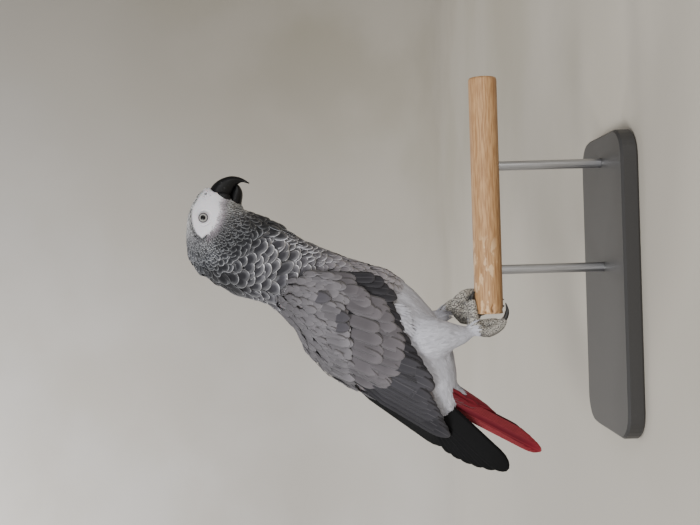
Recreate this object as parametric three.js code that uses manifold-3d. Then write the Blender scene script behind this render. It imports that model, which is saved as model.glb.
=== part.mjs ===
// A life-size grey parrot, standing along the end of a wooden perch on a plain display stand.
// Units are millimetres. +Z is up, the bird faces +X and its left side is +Y. The origin is on the
// underside of the stand's base, straight below the place where the feet hold the perch.
import * as THREE from "three";
import { mergeVertices } from "three/addons/utils/BufferGeometryUtils.js";
import Module from "manifold-3d";

const wasm = await Module();
wasm.setup();

// ---- driving dimensions -------------------------------------------------------------------------
const PERCH_HEIGHT = 112; // axis of the perch above the table
const PERCH_RADIUS = 12;
const PERCH_END = -3; // the worn end that the right foot holds
const PERCH_LENGTH = 200;
const BASE = { length: 250, width: 124, height: 14, corner: 22, centre: 20 };
const ROD = { radius: 4, sunk: 8, at: [34, 122] };
const GAP = 0.3; // clearance between neighbouring solids
const REACH = 400; // larger than the bird, for the slabs that cut it
const EYE = { x: 84.5, y: 13.7, z: 349.2, radius: 6.3 };
const RIGHT = -1;
const LEFT = 1;
const SIDES = [
  ["right", RIGHT],
  ["left", LEFT],
];

// Stations along the body, from the bill to the root of the tail. x and z place the middle of the
// section, up and down are its reach to the back and to the breast, and side is its half width.
const BODY = [
  { x: 103, z: 332, up: 15.5, down: 15.5, side: 9 },
  { x: 97, z: 335.5, up: 22, down: 21, side: 14.5 },
  { x: 86, z: 336, up: 30.5, down: 26, side: 20 },
  { x: 67, z: 327.5, up: 42, down: 37, side: 25 },
  { x: 49.5, z: 311, up: 36, down: 40, side: 28.5 },
  { x: 37, z: 287, up: 31, down: 35, side: 31 },
  { x: 19.5, z: 257, up: 38, down: 39, side: 35.5 },
  { x: -5, z: 226.5, up: 46, down: 54, side: 39 },
  { x: -27, z: 196.5, up: 40, down: 50, side: 37.5 },
  { x: -52, z: 171, up: 31, down: 37, side: 29 },
  { x: -73, z: 156.5, up: 22, down: 21, side: 19 },
  { x: -87, z: 148, up: 12, down: 10, side: 10 },
];
const HEAD_END = 0.3; // shares of the way along the body where the head and the neck end
const NECK_END = 0.5;

// Stations of the folded wings' outer face, which lies nearer the back than the body's stations do.
// cover is the depth of the feathers there.
const WING = [
  { x: 31, z: 292, up: 26, down: 30, side: 31.5, cover: 12 },
  { x: 13, z: 261.5, up: 31, down: 45, side: 42.5, cover: 14 },
  { x: -11.5, z: 231.5, up: 42.5, down: 60, side: 48, cover: 12 },
  { x: -31.5, z: 200.5, up: 42, down: 44, side: 45, cover: 7.5 },
  { x: -57, z: 173.5, up: 37, down: 35, side: 34, cover: 6.5 },
  { x: -80, z: 156, up: 27, down: 26, side: 20, cover: 4.5 },
  { x: -101, z: 148, up: 15.5, down: 12, side: 10, cover: 3 },
  { x: -117, z: 143, up: 7, down: 6, side: 5, cover: 2 },
];
// Side outline of a folded wing: shoulder, front edge, lower edge and tip. Its back edge lies outside
// the wing's outer face, which is what bounds it there.
const WING_OUTLINE = [
  [-8, 310],
  [8, 291],
  [27, 282.5],
  [36.5, 266],
  [38.5, 249],
  [36, 229],
  [31, 213],
  [24, 199],
  [17, 193],
  [4, 197],
  [-16, 188],
  [-33, 178.5],
  [-54, 168],
  [-88, 152.5],
  [-104, 148],
  [-111, 149.5],
  [-116, 156],
  [-116, 176],
  [-90, 215],
  [-60, 285],
];

// ---- small tools --------------------------------------------------------------------------------
const curveThrough = (rows) =>
  new THREE.CatmullRomCurve3(rows.map((row) => new THREE.Vector3(...row)));

// A three.js geometry as a manifold-3d solid, with its faces pointing out.
function solid(geometry) {
  const bare = new THREE.BufferGeometry();
  bare.setAttribute("position", geometry.getAttribute("position"));
  bare.setIndex(geometry.index);
  const merged = mergeVertices(bare, 1e-4);
  const vertProperties = new Float32Array(merged.attributes.position.array);
  const make = (triVerts) =>
    new wasm.Manifold(new wasm.Mesh({ numProp: 3, vertProperties, triVerts }));
  const made = make(new Uint32Array(merged.index.array));
  if (made.volume() > 0) return made;
  return make(new Uint32Array(merged.index.array).reverse());
}

const moved = (geometry, matrix) => solid(geometry.clone().applyMatrix4(matrix));
const joined = (solids) => solids.reduce((whole, piece) => whole.add(piece));
const largest = (whole) =>
  whole.decompose().sort((a, b) => b.volume() - a.volume())[0];

// A named three.js mesh from a solid.
function mesh(name, shape, material) {
  const data = shape.getMesh();
  const geometry = new THREE.BufferGeometry();
  const positions = new Float32Array(data.numVert * 3);
  for (let i = 0; i < data.numVert; i++)
    positions.set(
      data.vertProperties.subarray(i * data.numProp, i * data.numProp + 3),
      i * 3,
    );
  geometry.setAttribute("position", new THREE.BufferAttribute(positions, 3));
  geometry.setIndex(new THREE.BufferAttribute(data.triVerts, 1));
  geometry.computeVertexNormals();
  const made = new THREE.Mesh(geometry, material);
  made.name = name;
  return made;
}

const finish = (colour, roughness, metalness = 0) =>
  new THREE.MeshStandardMaterial({ color: colour, roughness, metalness });

const MATERIALS = {
  grey: finish(0x6e6c70, 0.85),
  darkGrey: finish(0x4c4b4f, 0.85),
  paleGrey: finish(0xb4b4b8, 0.9),
  black: finish(0x17161a, 0.8),
  red: finish(0xa61d2c, 0.75),
  bill: finish(0x141415, 0.35),
  eye: finish(0xd8d6c4, 0.1),
  scales: finish(0x7d7b78, 0.7),
  claw: finish(0x1c1a19, 0.4),
  wood: finish(0xb58b5f, 0.7),
  base: finish(0x2c2b2a, 0.5),
  steel: finish(0x9a9a9a, 0.3, 1),
};

// A closed body along a mid-line. Its sections are half ellipses of their own height above and below
// the mid-line, which heads tailwards or downwards. grow makes it that much fatter all round.
function loft(stations, { around, along, grow = 0 }) {
  const middle = curveThrough(stations.map((s) => [s.x, s.y ?? 0, s.z]));
  const reach = curveThrough(stations.map((s) => [s.up, s.down, s.side]));
  const geometry = new THREE.CylinderGeometry(1, 1, 1, around, along);
  const points = geometry.getAttribute("position");
  const across = new THREE.Vector3(0, 1, 0);
  for (let i = 0; i < points.count; i++) {
    const u = 0.5 - points.getY(i);
    const sin = points.getX(i);
    const cos = points.getZ(i);
    const tangent = middle.getTangent(u);
    const back = new THREE.Vector3().crossVectors(across, tangent).normalize();
    const size = reach.getPoint(u);
    const height = (cos > 0 ? size.x : size.y) + grow;
    const place = middle
      .getPoint(u)
      .addScaledVector(back, cos * height)
      .addScaledVector(across, sin * (size.z + grow));
    if (u === 0 || u === 1) place.addScaledVector(tangent, (2 * u - 1) * grow);
    points.setXYZ(i, place.x, place.y, place.z);
  }
  return solid(geometry);
}

// A round tapering limb, such as a toe or a claw, through places with a radius at each.
function limb(places, { around, along, grow = 0 }) {
  const middle = curveThrough(places.map((p) => p.slice(0, 3)));
  const radius = curveThrough(places.map((p) => [p[3], 0, 0]));
  const frames = middle.computeFrenetFrames(along, false);
  const geometry = new THREE.CylinderGeometry(1, 1, 1, around, along);
  const points = geometry.getAttribute("position");
  for (let i = 0; i < points.count; i++) {
    const step = Math.round((0.5 - points.getY(i)) * along);
    const u = middle.getUtoTmapping(step / along);
    const r = radius.getPoint(u).x + grow;
    const place = middle
      .getPoint(u)
      .addScaledVector(frames.normals[step], points.getX(i) * r)
      .addScaledVector(frames.binormals[step], points.getZ(i) * r);
    points.setXYZ(i, place.x, place.y, place.z);
  }
  return solid(geometry);
}

function box(width, depth, height, matrix) {
  return moved(new THREE.BoxGeometry(width, depth, height), matrix);
}

function ball(radius, x, y, z, detail) {
  const sphere = new THREE.SphereGeometry(radius, 2 * detail, detail);
  return moved(sphere, new THREE.Matrix4().makeTranslation(x, y, z));
}

const ONE = new THREE.Vector3(1, 1, 1);

// A round bar with its ends at from and to.
function bar(radius, from, to, sides) {
  const run = new THREE.Vector3().subVectors(to, from);
  const turn = new THREE.Quaternion().setFromUnitVectors(
    new THREE.Vector3(0, 1, 0),
    run.clone().normalize(),
  );
  const middle = new THREE.Vector3().addVectors(from, to).multiplyScalar(0.5);
  return moved(
    new THREE.CylinderGeometry(radius, radius, run.length(), sides),
    new THREE.Matrix4().compose(middle, turn, ONE),
  );
}

// A flat flight feather: root at the origin, shaft along +X, width along Z, thickness along Y.
function blade(length, width, thickness) {
  const half = width / 2;
  const shape = new THREE.Shape();
  shape.moveTo(0, -half * 0.35);
  shape.quadraticCurveTo(length * 0.25, -half, length * 0.55, -half);
  shape.quadraticCurveTo(length * 0.95, -half, length, half * 0.1);
  shape.quadraticCurveTo(length * 0.95, half, length * 0.6, half);
  shape.quadraticCurveTo(length * 0.25, half, 0, half * 0.35);
  shape.closePath();
  const geometry = new THREE.ExtrudeGeometry(shape, {
    depth: thickness,
    bevelEnabled: false,
    curveSegments: 2,
  });
  geometry.translate(0, 0, -thickness / 2);
  geometry.rotateX(Math.PI / 2);
  return geometry;
}

const degrees = THREE.MathUtils.degToRad;

// A matrix that places something at a point after turning it about X, then Y, then Z.
function placed(x, y, z, turnX, turnY, turnZ) {
  const turn = new THREE.Euler(degrees(turnX), degrees(turnY), degrees(turnZ), "ZYX");
  return new THREE.Matrix4().makeRotationFromEuler(turn).setPosition(x, y, z);
}

// ---- bill and eyes ------------------------------------------------------------------------------
// From its point round the hook to its root in the face.
const billUpper = (grow = 0) =>
  loft(
    [
      { x: 113.7, z: 312.5, up: 0.5, down: 0.5, side: 0.5 },
      { x: 116.4, z: 319.5, up: 2.1, down: 2, side: 2.2 },
      { x: 116, z: 327, up: 4.4, down: 4.6, side: 4.4 },
      { x: 112.3, z: 334, up: 6.4, down: 6.4, side: 6.3 },
      { x: 107, z: 338.6, up: 7.6, down: 7.4, side: 7.6 },
      { x: 100.5, z: 339.5, up: 8.6, down: 7.6, side: 8.2 },
    ],
    { around: 14, along: 12, grow },
  );

const billLower = (grow = 0) =>
  loft(
    [
      { x: 112.8, z: 324, up: 0.7, down: 0.8, side: 2.2 },
      { x: 110.6, z: 322.6, up: 2, down: 2.6, side: 4.6 },
      { x: 105.5, z: 322.8, up: 4.5, down: 5.3, side: 6.2 },
      { x: 98, z: 324.5, up: 6, down: 7.3, side: 7 },
    ],
    { around: 12, along: 7, grow },
  );

function makeBill() {
  return [
    mesh("bill_upper", billUpper(), MATERIALS.bill),
    mesh("bill_lower", billLower().subtract(billUpper(GAP)), MATERIALS.bill),
  ];
}

const eyeball = (side, grow = 0) =>
  ball(EYE.radius + grow, EYE.x, side * EYE.y, EYE.z, 6);

// ---- head, neck and trunk -----------------------------------------------------------------------
const body = (grow = 0) => loft(BODY, { around: 22, along: 24, grow });

// A slab as thin as the gap, square to the body's mid-line at a share of its length.
function slice(share) {
  const middle = curveThrough(BODY.map((s) => [s.x, 0, s.z]));
  const at = middle.getPoint(share);
  const turn = new THREE.Quaternion().setFromUnitVectors(
    new THREE.Vector3(0, 0, 1),
    middle.getTangent(share),
  );
  const width = 2 * Math.max(...BODY.map((s) => s.up + s.down));
  return box(width, width, GAP, new THREE.Matrix4().compose(at, turn, ONE));
}

function makeBody() {
  const whole = body()
    .subtract(billUpper(GAP))
    .subtract(billLower(GAP))
    .subtract(eyeball(RIGHT, GAP))
    .subtract(eyeball(LEFT, GAP))
    .subtract(slice(HEAD_END))
    .subtract(slice(NECK_END));
  const height = (piece) => {
    const bounds = piece.boundingBox();
    return bounds.min[2] + bounds.max[2];
  };
  const lengths = whole
    .decompose()
    .filter((piece) => piece.volume() > 1)
    .sort((a, b) => height(b) - height(a));
  return ["head", "neck", "trunk"].map((name, i) =>
    mesh(name, lengths[i], MATERIALS.grey),
  );
}

// ---- wings --------------------------------------------------------------------------------------
const MANTLE = { x: -70, slope: 17 }; // the folded wings meet behind x and part at this angle before it

// A folded wing: a shell of feathers that lies on the trunk, inside its side outline.
function wing(side, grow = 0) {
  const outline = new THREE.Shape(
    WING_OUTLINE.map(([x, z]) => new THREE.Vector2(x, z)),
  );
  const prism = new THREE.ExtrudeGeometry(outline, { depth: REACH, bevelEnabled: false });
  prism.rotateX(Math.PI / 2);
  if (side === LEFT) prism.translate(0, REACH, 0);
  const inner = WING.map((s) => ({
    ...s,
    up: s.up - s.cover,
    down: s.down - s.cover,
    side: s.side - s.cover,
  }));
  const options = { around: 18, along: 13 };
  const beside = side * ((GAP - REACH) / 2 - grow);
  const mantle = box(
    REACH,
    REACH,
    2 * REACH,
    placed(MANTLE.x, 0, 0, 0, 0, side * MANTLE.slope).multiply(
      new THREE.Matrix4().makeTranslation(REACH / 2, beside, 0),
    ),
  );
  return loft(WING, { ...options, grow })
    .intersect(solid(prism))
    .subtract(loft(inner, { ...options, grow: -grow }))
    .subtract(mantle)
    .subtract(box(REACH, GAP, 2 * REACH, placed(0, 0, 0, 0, 0, 0)))
    .subtract(body(GAP - grow));
}

// The longest feathers of the hand, which show past the folded wing as a dark fan.
// The left hand's feathers lie higher, along the ridge of the back. fold is the slope of the first
// feather and fan is how far the others turn away from it.
const VANE = 1.4; // thickness of one of these feathers
const PRIMARIES = {
  right: { count: 6, x: -66, z: 171, length: 60, longer: 41, fold: 27, fan: 19, width: 17 },
  left: { count: 5, x: -52, z: 221, length: 93, longer: 9, fold: 53, fan: 6, width: 18 },
};

function primaries(name, side) {
  const { count, x, z, length, longer, fold, fan, width } = PRIMARIES[name];
  const feathers = [];
  for (let i = 0; i < count; i++) {
    const outward = i / (count - 1);
    const reach = length + longer * outward;
    const y = side * (GAP / 2 + VANE + i * 0.8 * VANE);
    const place = placed(x, y, z, 0, 180 - fold - fan * outward, 0);
    feathers.push(moved(blade(reach, width, VANE), place));
  }
  return largest(joined(feathers).subtract(wing(side, GAP)).subtract(body(GAP)));
}

// ---- tail ---------------------------------------------------------------------------------------
const TAIL = { x: -76, z: 151, slope: 61, length: 92, width: 15.5, thick: 1.25, pairs: 6 };
const TAIL_STEP = { shorter: 0.66, lower: 0.95, outward: 0.8, turn: 1.5, tilt: 3.5 };

// The middle pair lies on top, and each pair outside it lies lower, is shorter and spreads wider.
function tail(grow = 0) {
  const feathers = [];
  const frame = placed(TAIL.x, 0, TAIL.z, 0, 180 - TAIL.slope, 0);
  for (let i = 0; i < TAIL.pairs; i++) {
    const length = TAIL.length - TAIL_STEP.shorter * i * i + grow;
    const feather = blade(length, TAIL.width + 2 * grow, TAIL.thick + 2 * grow);
    for (const [, side] of SIDES) {
      const y = side * (1 + TAIL_STEP.outward * i);
      const tilt = 90 + side * (3 + TAIL_STEP.tilt * i);
      const turn = side * (0.8 + TAIL_STEP.turn * i);
      const own = placed(0, y, TAIL_STEP.lower * i, tilt, 0, turn);
      feathers.push(moved(feather, frame.clone().multiply(own)));
    }
  }
  return joined(feathers);
}

// The soft feathers under the root of the tail.
const undertail = (grow = 0) =>
  loft(
    [
      { x: -66, z: 146, up: 8, down: 7, side: 11 },
      { x: -74, z: 133, up: 6, down: 6.5, side: 10 },
      { x: -84, z: 117, up: 3.5, down: 5, side: 7 },
      { x: -90.5, z: 107, up: 1, down: 1.2, side: 2.5 },
    ],
    { around: 12, along: 6, grow },
  );

function makeTail() {
  const fan = largest(tail().subtract(body(GAP)));
  const coverts = largest(undertail().subtract(body(GAP)).subtract(tail(GAP)));
  return [mesh("tail", fan, MATERIALS.red), mesh("undertail", coverts, MATERIALS.red)];
}

// ---- legs ---------------------------------------------------------------------------------------
// Feathered thighs, from the belly down to the ankle.
const THIGHS = {
  right: [
    { x: -27, y: -15, z: 198, up: 18, down: 20, side: 13 },
    { x: -24, y: -19, z: 181, up: 24, down: 24, side: 16 },
    { x: -21, y: -19, z: 163, up: 21, down: 21, side: 15 },
    { x: -20, y: -17, z: 149, up: 15, down: 14.5, side: 12 },
    { x: -19.5, y: -13.5, z: 139, up: 10.5, down: 10.5, side: 9 },
    { x: -18.5, y: -11, z: 131, up: 7.5, down: 7, side: 7 },
    { x: -18, y: -10, z: 127, up: 4, down: 4, side: 4.5 },
  ],
  left: [
    { x: -22, y: 15, z: 200, up: 18, down: 18, side: 13 },
    { x: -17, y: 19, z: 184, up: 24, down: 22, side: 16 },
    { x: -13, y: 19, z: 170, up: 20, down: 17, side: 15 },
    { x: -9, y: 17, z: 159, up: 13, down: 12, side: 12 },
    { x: -5, y: 14, z: 151, up: 9, down: 8, side: 8.5 },
    { x: -2.5, y: 12, z: 146, up: 6, down: 5.5, side: 6 },
  ],
};

const thigh = (name, grow = 0) => loft(THIGHS[name], { around: 12, along: 8, grow });

// Bare scaled shanks and toes. A place is x, y, z and the radius there. Toes 1 and 4 point back, and
// toes 2 and 3 forward. Each claw starts in the end of its toe. The right foot holds the worn end of
// the perch, and the left one stands beside it, with its toes down the far side.
const FEET = {
  right: {
    shank: [
      [-18, -10.5, 134, 5],
      [-16, -9.5, 129, 5.4],
      [-12.5, -7.5, 125.5, 5.4],
    ],
    toes: [
      [[-11, -5.5, 126, 4.8], [-11.5, -4.5, 119.5, 4], [-10.7, -3.5, 112, 3.6], [-10, -3, 105.5, 3.1]],
      [[-11, -4, 126.5, 4.8], [-4, 0, 128.2, 4.2], [2, 2, 127.9, 3.7], [7, 2.5, 127.5, 3.1]],
      [[-11, -8, 125.8, 4.8], [-3, -6, 126.7, 4.2], [4, -5, 127, 3.7], [9.5, -4.5, 127, 3.1]],
      [
        [-13, -9, 125, 5],
        [-18.5, -10.5, 119, 4.4],
        [-16.8, -10.5, 110.5, 4.1],
        [-13, -9, 104, 3.7],
        [-8, -7.5, 100.5, 3.1],
      ],
    ],
    claws: [
      [[-10, -3, 106.5, 2.4], [-9, -2.5, 101.5, 2], [-5.5, -2, 98.6, 1.5], [-1, -1.5, 98.2, 0.5]],
      [[6.3, 2.4, 127.6, 2.3], [9.5, 2.8, 127.2, 1.9], [12, 3.2, 126, 1.3], [13.3, 3.5, 124.7, 0.5]],
      [[8.8, -4.6, 127.1, 2.3], [12.3, -4.3, 126.6, 1.9], [14.8, -4, 125.4, 1.3], [16, -3.8, 124, 0.5]],
      [[-9, -7.8, 101, 2.4], [-4, -7, 98, 2.1], [1, -6, 97.4, 1.5], [6, -5, 98.6, 0.5]],
    ],
  },
  left: {
    shank: [
      [-2, 12, 152, 4.6],
      [1, 10, 147, 5],
      [4, 8, 141, 6.3],
    ],
    toes: [
      [
        [3, 7, 139, 5.6],
        [-3, 5, 136.5, 5.1],
        [-8, 6, 132.5, 4.5],
        [-8, 12, 126.5, 4],
        [-4.5, 15.8, 119, 3.4],
      ],
      [
        [5, 7, 139, 5.6],
        [9.5, 6, 136, 5.1],
        [13, 7, 131.5, 4.6],
        [14.5, 12, 125.5, 4],
        [14.2, 15.8, 118, 3.4],
      ],
      [
        [6, 10, 138, 5.5],
        [8, 14, 132, 4.8],
        [8.6, 17, 124.5, 4.2],
        [8.6, 17, 116, 3.7],
        [8.3, 15.2, 108.5, 3.3],
      ],
      [
        [4, 10, 138, 5.5],
        [1.5, 14.2, 132, 4.8],
        [1.5, 17, 124.5, 4.2],
        [2, 16.8, 116, 3.7],
        [2.2, 14.8, 108, 3.3],
      ],
    ],
    claws: [
      [[-4.9, 15.6, 120, 2.4], [-3, 15.8, 113.5, 2], [-1.5, 14.4, 108, 1.4], [-1, 12.4, 104.6, 0.5]],
      [[14.3, 15.6, 119, 2.4], [14, 15.6, 112.5, 2], [13.6, 14.2, 107, 1.4], [13.4, 12.2, 103.6, 0.5]],
      [[8.3, 15.5, 109.5, 2.4], [8.3, 13.6, 103, 2], [8.3, 10.8, 99.4, 1.4], [8.3, 7.8, 97.8, 0.5]],
      [[2.2, 15, 109, 2.4], [2.4, 13, 102.5, 2], [2.6, 10.2, 99, 1.4], [2.6, 7.2, 97.6, 0.5]],
    ],
  },
};

const perchBar = (grow = 0) =>
  bar(
    PERCH_RADIUS + grow,
    new THREE.Vector3(PERCH_END - grow, 0, PERCH_HEIGHT),
    new THREE.Vector3(PERCH_END + PERCH_LENGTH + grow, 0, PERCH_HEIGHT),
    24,
  );

function foot(name, grow = 0) {
  const { shank, toes } = FEET[name];
  return joined([
    limb(shank, { around: 8, along: 4, grow }),
    ...toes.map((toe) => limb(toe, { around: 7, along: 5, grow })),
  ]);
}

const claw = (name, i, grow = 0) =>
  limb(FEET[name].claws[i], { around: 6, along: 5, grow });

function makeLegs() {
  const made = [];
  const claws = [];
  for (const [name, side] of SIDES) {
    const upper = largest(thigh(name).subtract(body(GAP)).subtract(wing(side, GAP)));
    let lower = foot(name).subtract(thigh(name, GAP)).subtract(body(GAP)).subtract(perchBar(GAP));
    if (side === LEFT) lower = lower.subtract(foot("right", GAP));
    FEET[name].claws.forEach((_, i) => {
      const shape = largest(claw(name, i).subtract(perchBar(GAP)));
      claws.push(mesh(`claw_${name}_${i + 1}`, shape, MATERIALS.claw));
      lower = lower.subtract(claw(name, i, GAP));
    });
    made.push(mesh(`thigh_${name}`, upper, MATERIALS.paleGrey));
    made.push(mesh(`foot_${name}`, largest(lower), MATERIALS.scales));
  }
  return [...made, ...claws];
}

// ---- perch and stand ----------------------------------------------------------------------------
const rod = (x, grow = 0) =>
  bar(
    ROD.radius + grow,
    new THREE.Vector3(x, 0, BASE.height - ROD.sunk - grow),
    new THREE.Vector3(x, 0, PERCH_HEIGHT - PERCH_RADIUS + ROD.sunk + grow),
    16,
  );

function basePlate() {
  const { length, width, corner, height, centre } = BASE;
  const bevel = 2;
  const x = length / 2 - bevel;
  const y = width / 2 - bevel;
  const plan = new THREE.Shape();
  plan.absarc(x - corner, y - corner, corner, 0, Math.PI / 2);
  plan.absarc(corner - x, y - corner, corner, Math.PI / 2, Math.PI);
  plan.absarc(corner - x, corner - y, corner, Math.PI, 1.5 * Math.PI);
  plan.absarc(x - corner, corner - y, corner, 1.5 * Math.PI, 2 * Math.PI);
  const plate = new THREE.ExtrudeGeometry(plan, {
    depth: height - 2 * bevel,
    bevelThickness: bevel,
    bevelSize: bevel,
    bevelSegments: 1,
    curveSegments: 4,
  });
  return moved(plate, new THREE.Matrix4().makeTranslation(centre, 0, bevel));
}

function makeStand() {
  let perch = perchBar();
  let base = basePlate();
  for (const x of ROD.at) {
    perch = perch.subtract(rod(x, GAP));
    base = base.subtract(rod(x, GAP));
  }
  return [
    mesh("perch", perch, MATERIALS.wood),
    mesh("stand_base", base, MATERIALS.base),
    mesh("stand_rod_front", rod(ROD.at[1]), MATERIALS.steel),
    mesh("stand_rod_rear", rod(ROD.at[0]), MATERIALS.steel),
  ];
}

// ---- the whole model ----------------------------------------------------------------------------
const parrot = new THREE.Group();
parrot.add(...makeBody(), ...makeBill(), ...makeLegs(), ...makeStand());
for (const [name, side] of SIDES) {
  parrot.add(mesh(`eye_${name}`, eyeball(side), MATERIALS.eye));
  parrot.add(mesh(`wing_${name}`, largest(wing(side)), MATERIALS.darkGrey));
  parrot.add(mesh(`primaries_${name}`, primaries(name, side), MATERIALS.black));
}
parrot.add(...makeTail());

export default parrot;
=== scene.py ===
import math

import bmesh
import bpy
import numpy as np
from mathutils import Matrix, Vector
from mathutils.bvhtree import BVHTree


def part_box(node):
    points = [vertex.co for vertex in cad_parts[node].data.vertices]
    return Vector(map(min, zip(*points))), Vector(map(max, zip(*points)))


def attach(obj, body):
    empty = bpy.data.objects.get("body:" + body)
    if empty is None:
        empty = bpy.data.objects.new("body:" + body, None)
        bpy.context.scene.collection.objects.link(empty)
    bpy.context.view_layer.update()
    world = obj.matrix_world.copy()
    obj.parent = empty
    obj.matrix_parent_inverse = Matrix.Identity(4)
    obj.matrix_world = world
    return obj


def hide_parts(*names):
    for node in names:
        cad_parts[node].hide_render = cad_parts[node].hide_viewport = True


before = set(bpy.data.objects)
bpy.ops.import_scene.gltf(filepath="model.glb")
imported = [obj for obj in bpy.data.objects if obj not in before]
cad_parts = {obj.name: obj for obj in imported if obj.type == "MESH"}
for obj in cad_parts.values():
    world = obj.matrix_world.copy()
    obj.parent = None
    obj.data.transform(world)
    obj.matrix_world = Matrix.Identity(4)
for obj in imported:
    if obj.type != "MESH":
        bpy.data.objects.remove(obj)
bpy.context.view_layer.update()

MM = 0.001

# ---- Viewpoint ----
# A camera level with the bird's breast, looking square at its right side. It is turned on its side,
# so that the long side of the picture runs up the bird, and it leans by a small roll.
VIEW_PLACE = (0.0439, -0.8, 0.2289)
VIEW_ROLL = math.radians(1.7)
VIEW_SENSOR, VIEW_LENS = 36, 48.4


def new_object(name, data):
    shown = bpy.data.objects.new(name, data)
    bpy.context.scene.collection.objects.link(shown)
    return shown


camera = new_object("camera", bpy.data.cameras.new("camera"))
bpy.context.scene.camera = camera
camera.data.sensor_width = VIEW_SENSOR
camera.data.lens = VIEW_LENS
picture_right = Vector((-math.sin(VIEW_ROLL), 0, -math.cos(VIEW_ROLL)))
picture_up = Vector((math.cos(VIEW_ROLL), 0, -math.sin(VIEW_ROLL)))
towards_viewer = Vector((0, -1, 0))
camera.matrix_world = Matrix.Translation(VIEW_PLACE) @ Matrix(
    (picture_right, picture_up, towards_viewer)
).transposed().to_4x4()

# ---- Skin ----
# The bird's skin in one closed piece, bare round the eyes, at the nostrils and on the feet, and under
# feathers everywhere else. The parts of the flesh are grown together and smoothed, and sunk by the
# depth of the feathers over them.
FLESH = {  # depth of the feathers over each part of the flesh, in mm
    "head": 1.1, "neck": 3.2, "trunk": 3.0, "undertail": 1.6,
    "thigh_right": 2.2, "thigh_left": 2.2, "foot_right": 0.0, "foot_left": 0.0,
    "wing_right": 2.0, "wing_left": 2.0,
}
FLESH_NAMES = list(FLESH)
SKIN_GRAIN = 1.45 * MM
FLESH_SWELL = 0.35  # mm by which each part is fattened before they are joined
JOIN_ROUNDS = 110  # of evening out, which fills the joints between the parts
WING_FLESH_END = -72 * MM  # behind this only feathers make the wing
# The middle line of the body in side view, x and z in mm, from the bill to the root of the tail.
MID_LINE = [(103, 332), (97, 335.5), (86, 336), (67, 327.5), (49.5, 311), (37, 287), (19.5, 257),
            (-5, 226.5), (-27, 196.5), (-52, 171), (-73, 156.5), (-87, 148)]
# The edge of the bare face in side view, x and z in mm, from its back corner over the eye.
FACE_EDGE = [(68.4, 351), (72, 355.4), (78, 358.6), (86.5, 360), (94, 359.4), (101.5, 355),
             (108.5, 350), (113, 340), (103, 334.5), (97.6, 337.6), (90.6, 336.9), (82.4, 339),
             (77, 342.4), (72, 346.8)]
FACE_MIDDLE = (89 * MM, 349 * MM)
SIDES = {"right": -1, "left": 1}
EYE = {side: sum(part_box("eye_" + side), Vector()) / 2 for side in SIDES}
EYE_RADIUS = (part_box("eye_right")[1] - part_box("eye_right")[0]).x / 2
GAZE = {side: Vector((0.03, SIDES[side], 0.08)).normalized() for side in SIDES}
LID_OPENING = 3.75 * MM  # radius of the round opening between the lids
LID_WIDTH = 4.6 * MM  # from the opening to where the lids run out in the face
LID_HEIGHT = 0.42 * MM  # of the lids' edge over the eyeball
LID_FOLDS, FOLD_HEIGHT = 5, 0.09 * MM
THROAT = {"x": 89 * MM, "z": 300 * MM, "reach": 19 * MM, "hollow": 3.5 * MM}  # drawn in under the chin
NOSTRIL = {"x": 105.4 * MM, "z": 348.3 * MM, "radius": 1.15 * MM, "deep": 1.5 * MM,
           "swelling": 0.55 * MM, "swollen": 3.6 * MM}


def through(points, count):
    """Evenly numbered places on a smooth curve through the points, as an array."""
    p = np.array(points, float)
    p = np.vstack([2 * p[0] - p[1], p, 2 * p[-1] - p[-2]])
    at = np.linspace(0, len(points) - 1, count)
    i = np.minimum(at.astype(int), len(points) - 2)
    t = (at - i)[:, None]
    a, b, c, d = p[i], p[i + 1], p[i + 2], p[i + 3]
    return 0.5 * (2 * b + (c - a) * t + (2 * a - 5 * b + 4 * c - d) * t**2
                  + (3 * b - a - 3 * c + d) * t**3)


def smooth_step(low, high, value):
    share = np.clip((value - low) / (high - low), 0, 1)
    return share * share * (3 - 2 * share)


def unit(vectors):
    return vectors / np.maximum(np.linalg.norm(vectors, axis=-1, keepdims=True), 1e-12)


mid_line = through(MID_LINE, 240) * MM
mid_heading = unit(np.gradient(mid_line, axis=0))
mid_reach = np.concatenate([[0], np.cumsum(np.linalg.norm(np.diff(mid_line, axis=0), axis=1))])


def along_body(points):
    """Distance down the body, turn round it from the back, and tailward heading at each point."""
    gap = points[:, None, [0, 2]] - mid_line[None]
    i = np.argmin((gap**2).sum(2), axis=1)
    gap = gap[np.arange(len(i)), i]
    heading = np.zeros((len(points), 3))
    heading[:, [0, 2]] = mid_heading[i]
    back = heading[:, 2] * gap[:, 0] - heading[:, 0] * gap[:, 1]
    return mid_reach[i], np.arctan2(points[:, 1], back), heading


def inside_face(points):
    """Distance inside the edge of the bare face in side view, negative outside it."""
    a = np.array(FACE_EDGE) * MM
    b = np.roll(a, -1, axis=0)
    p = points[:, None, [0, 2]]
    run = b - a
    t = np.clip(((p - a) * run).sum(2) / (run**2).sum(1), 0, 1)
    distance = np.linalg.norm(p - a - t[..., None] * run, axis=2).min(1)
    crosses = (a[:, 1] > p[..., 1]) != (b[:, 1] > p[..., 1])
    with np.errstate(divide="ignore", invalid="ignore"):
        meets = p[..., 0] < a[:, 0] + (p[..., 1] - a[:, 1]) * run[:, 0] / run[:, 1]
    return np.where((crosses & meets).sum(1) % 2 == 1, distance, -distance)


def round_eye(points, side):
    """Height of points along the gaze from the eye's middle, and distance from the gaze's line."""
    offset = points - np.array(EYE[side])
    height = offset @ np.array(GAZE[side])
    return height, np.linalg.norm(offset - height[:, None] * np.array(GAZE[side]), axis=1)


def piece(name, mesh, replaces=()):
    """Shows a finished mesh as a named piece of the model."""
    shown = new_object(name, mesh)
    mesh.name = name
    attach(shown, "root")
    if replaces:
        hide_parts(*replaces)
    return shown


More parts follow.
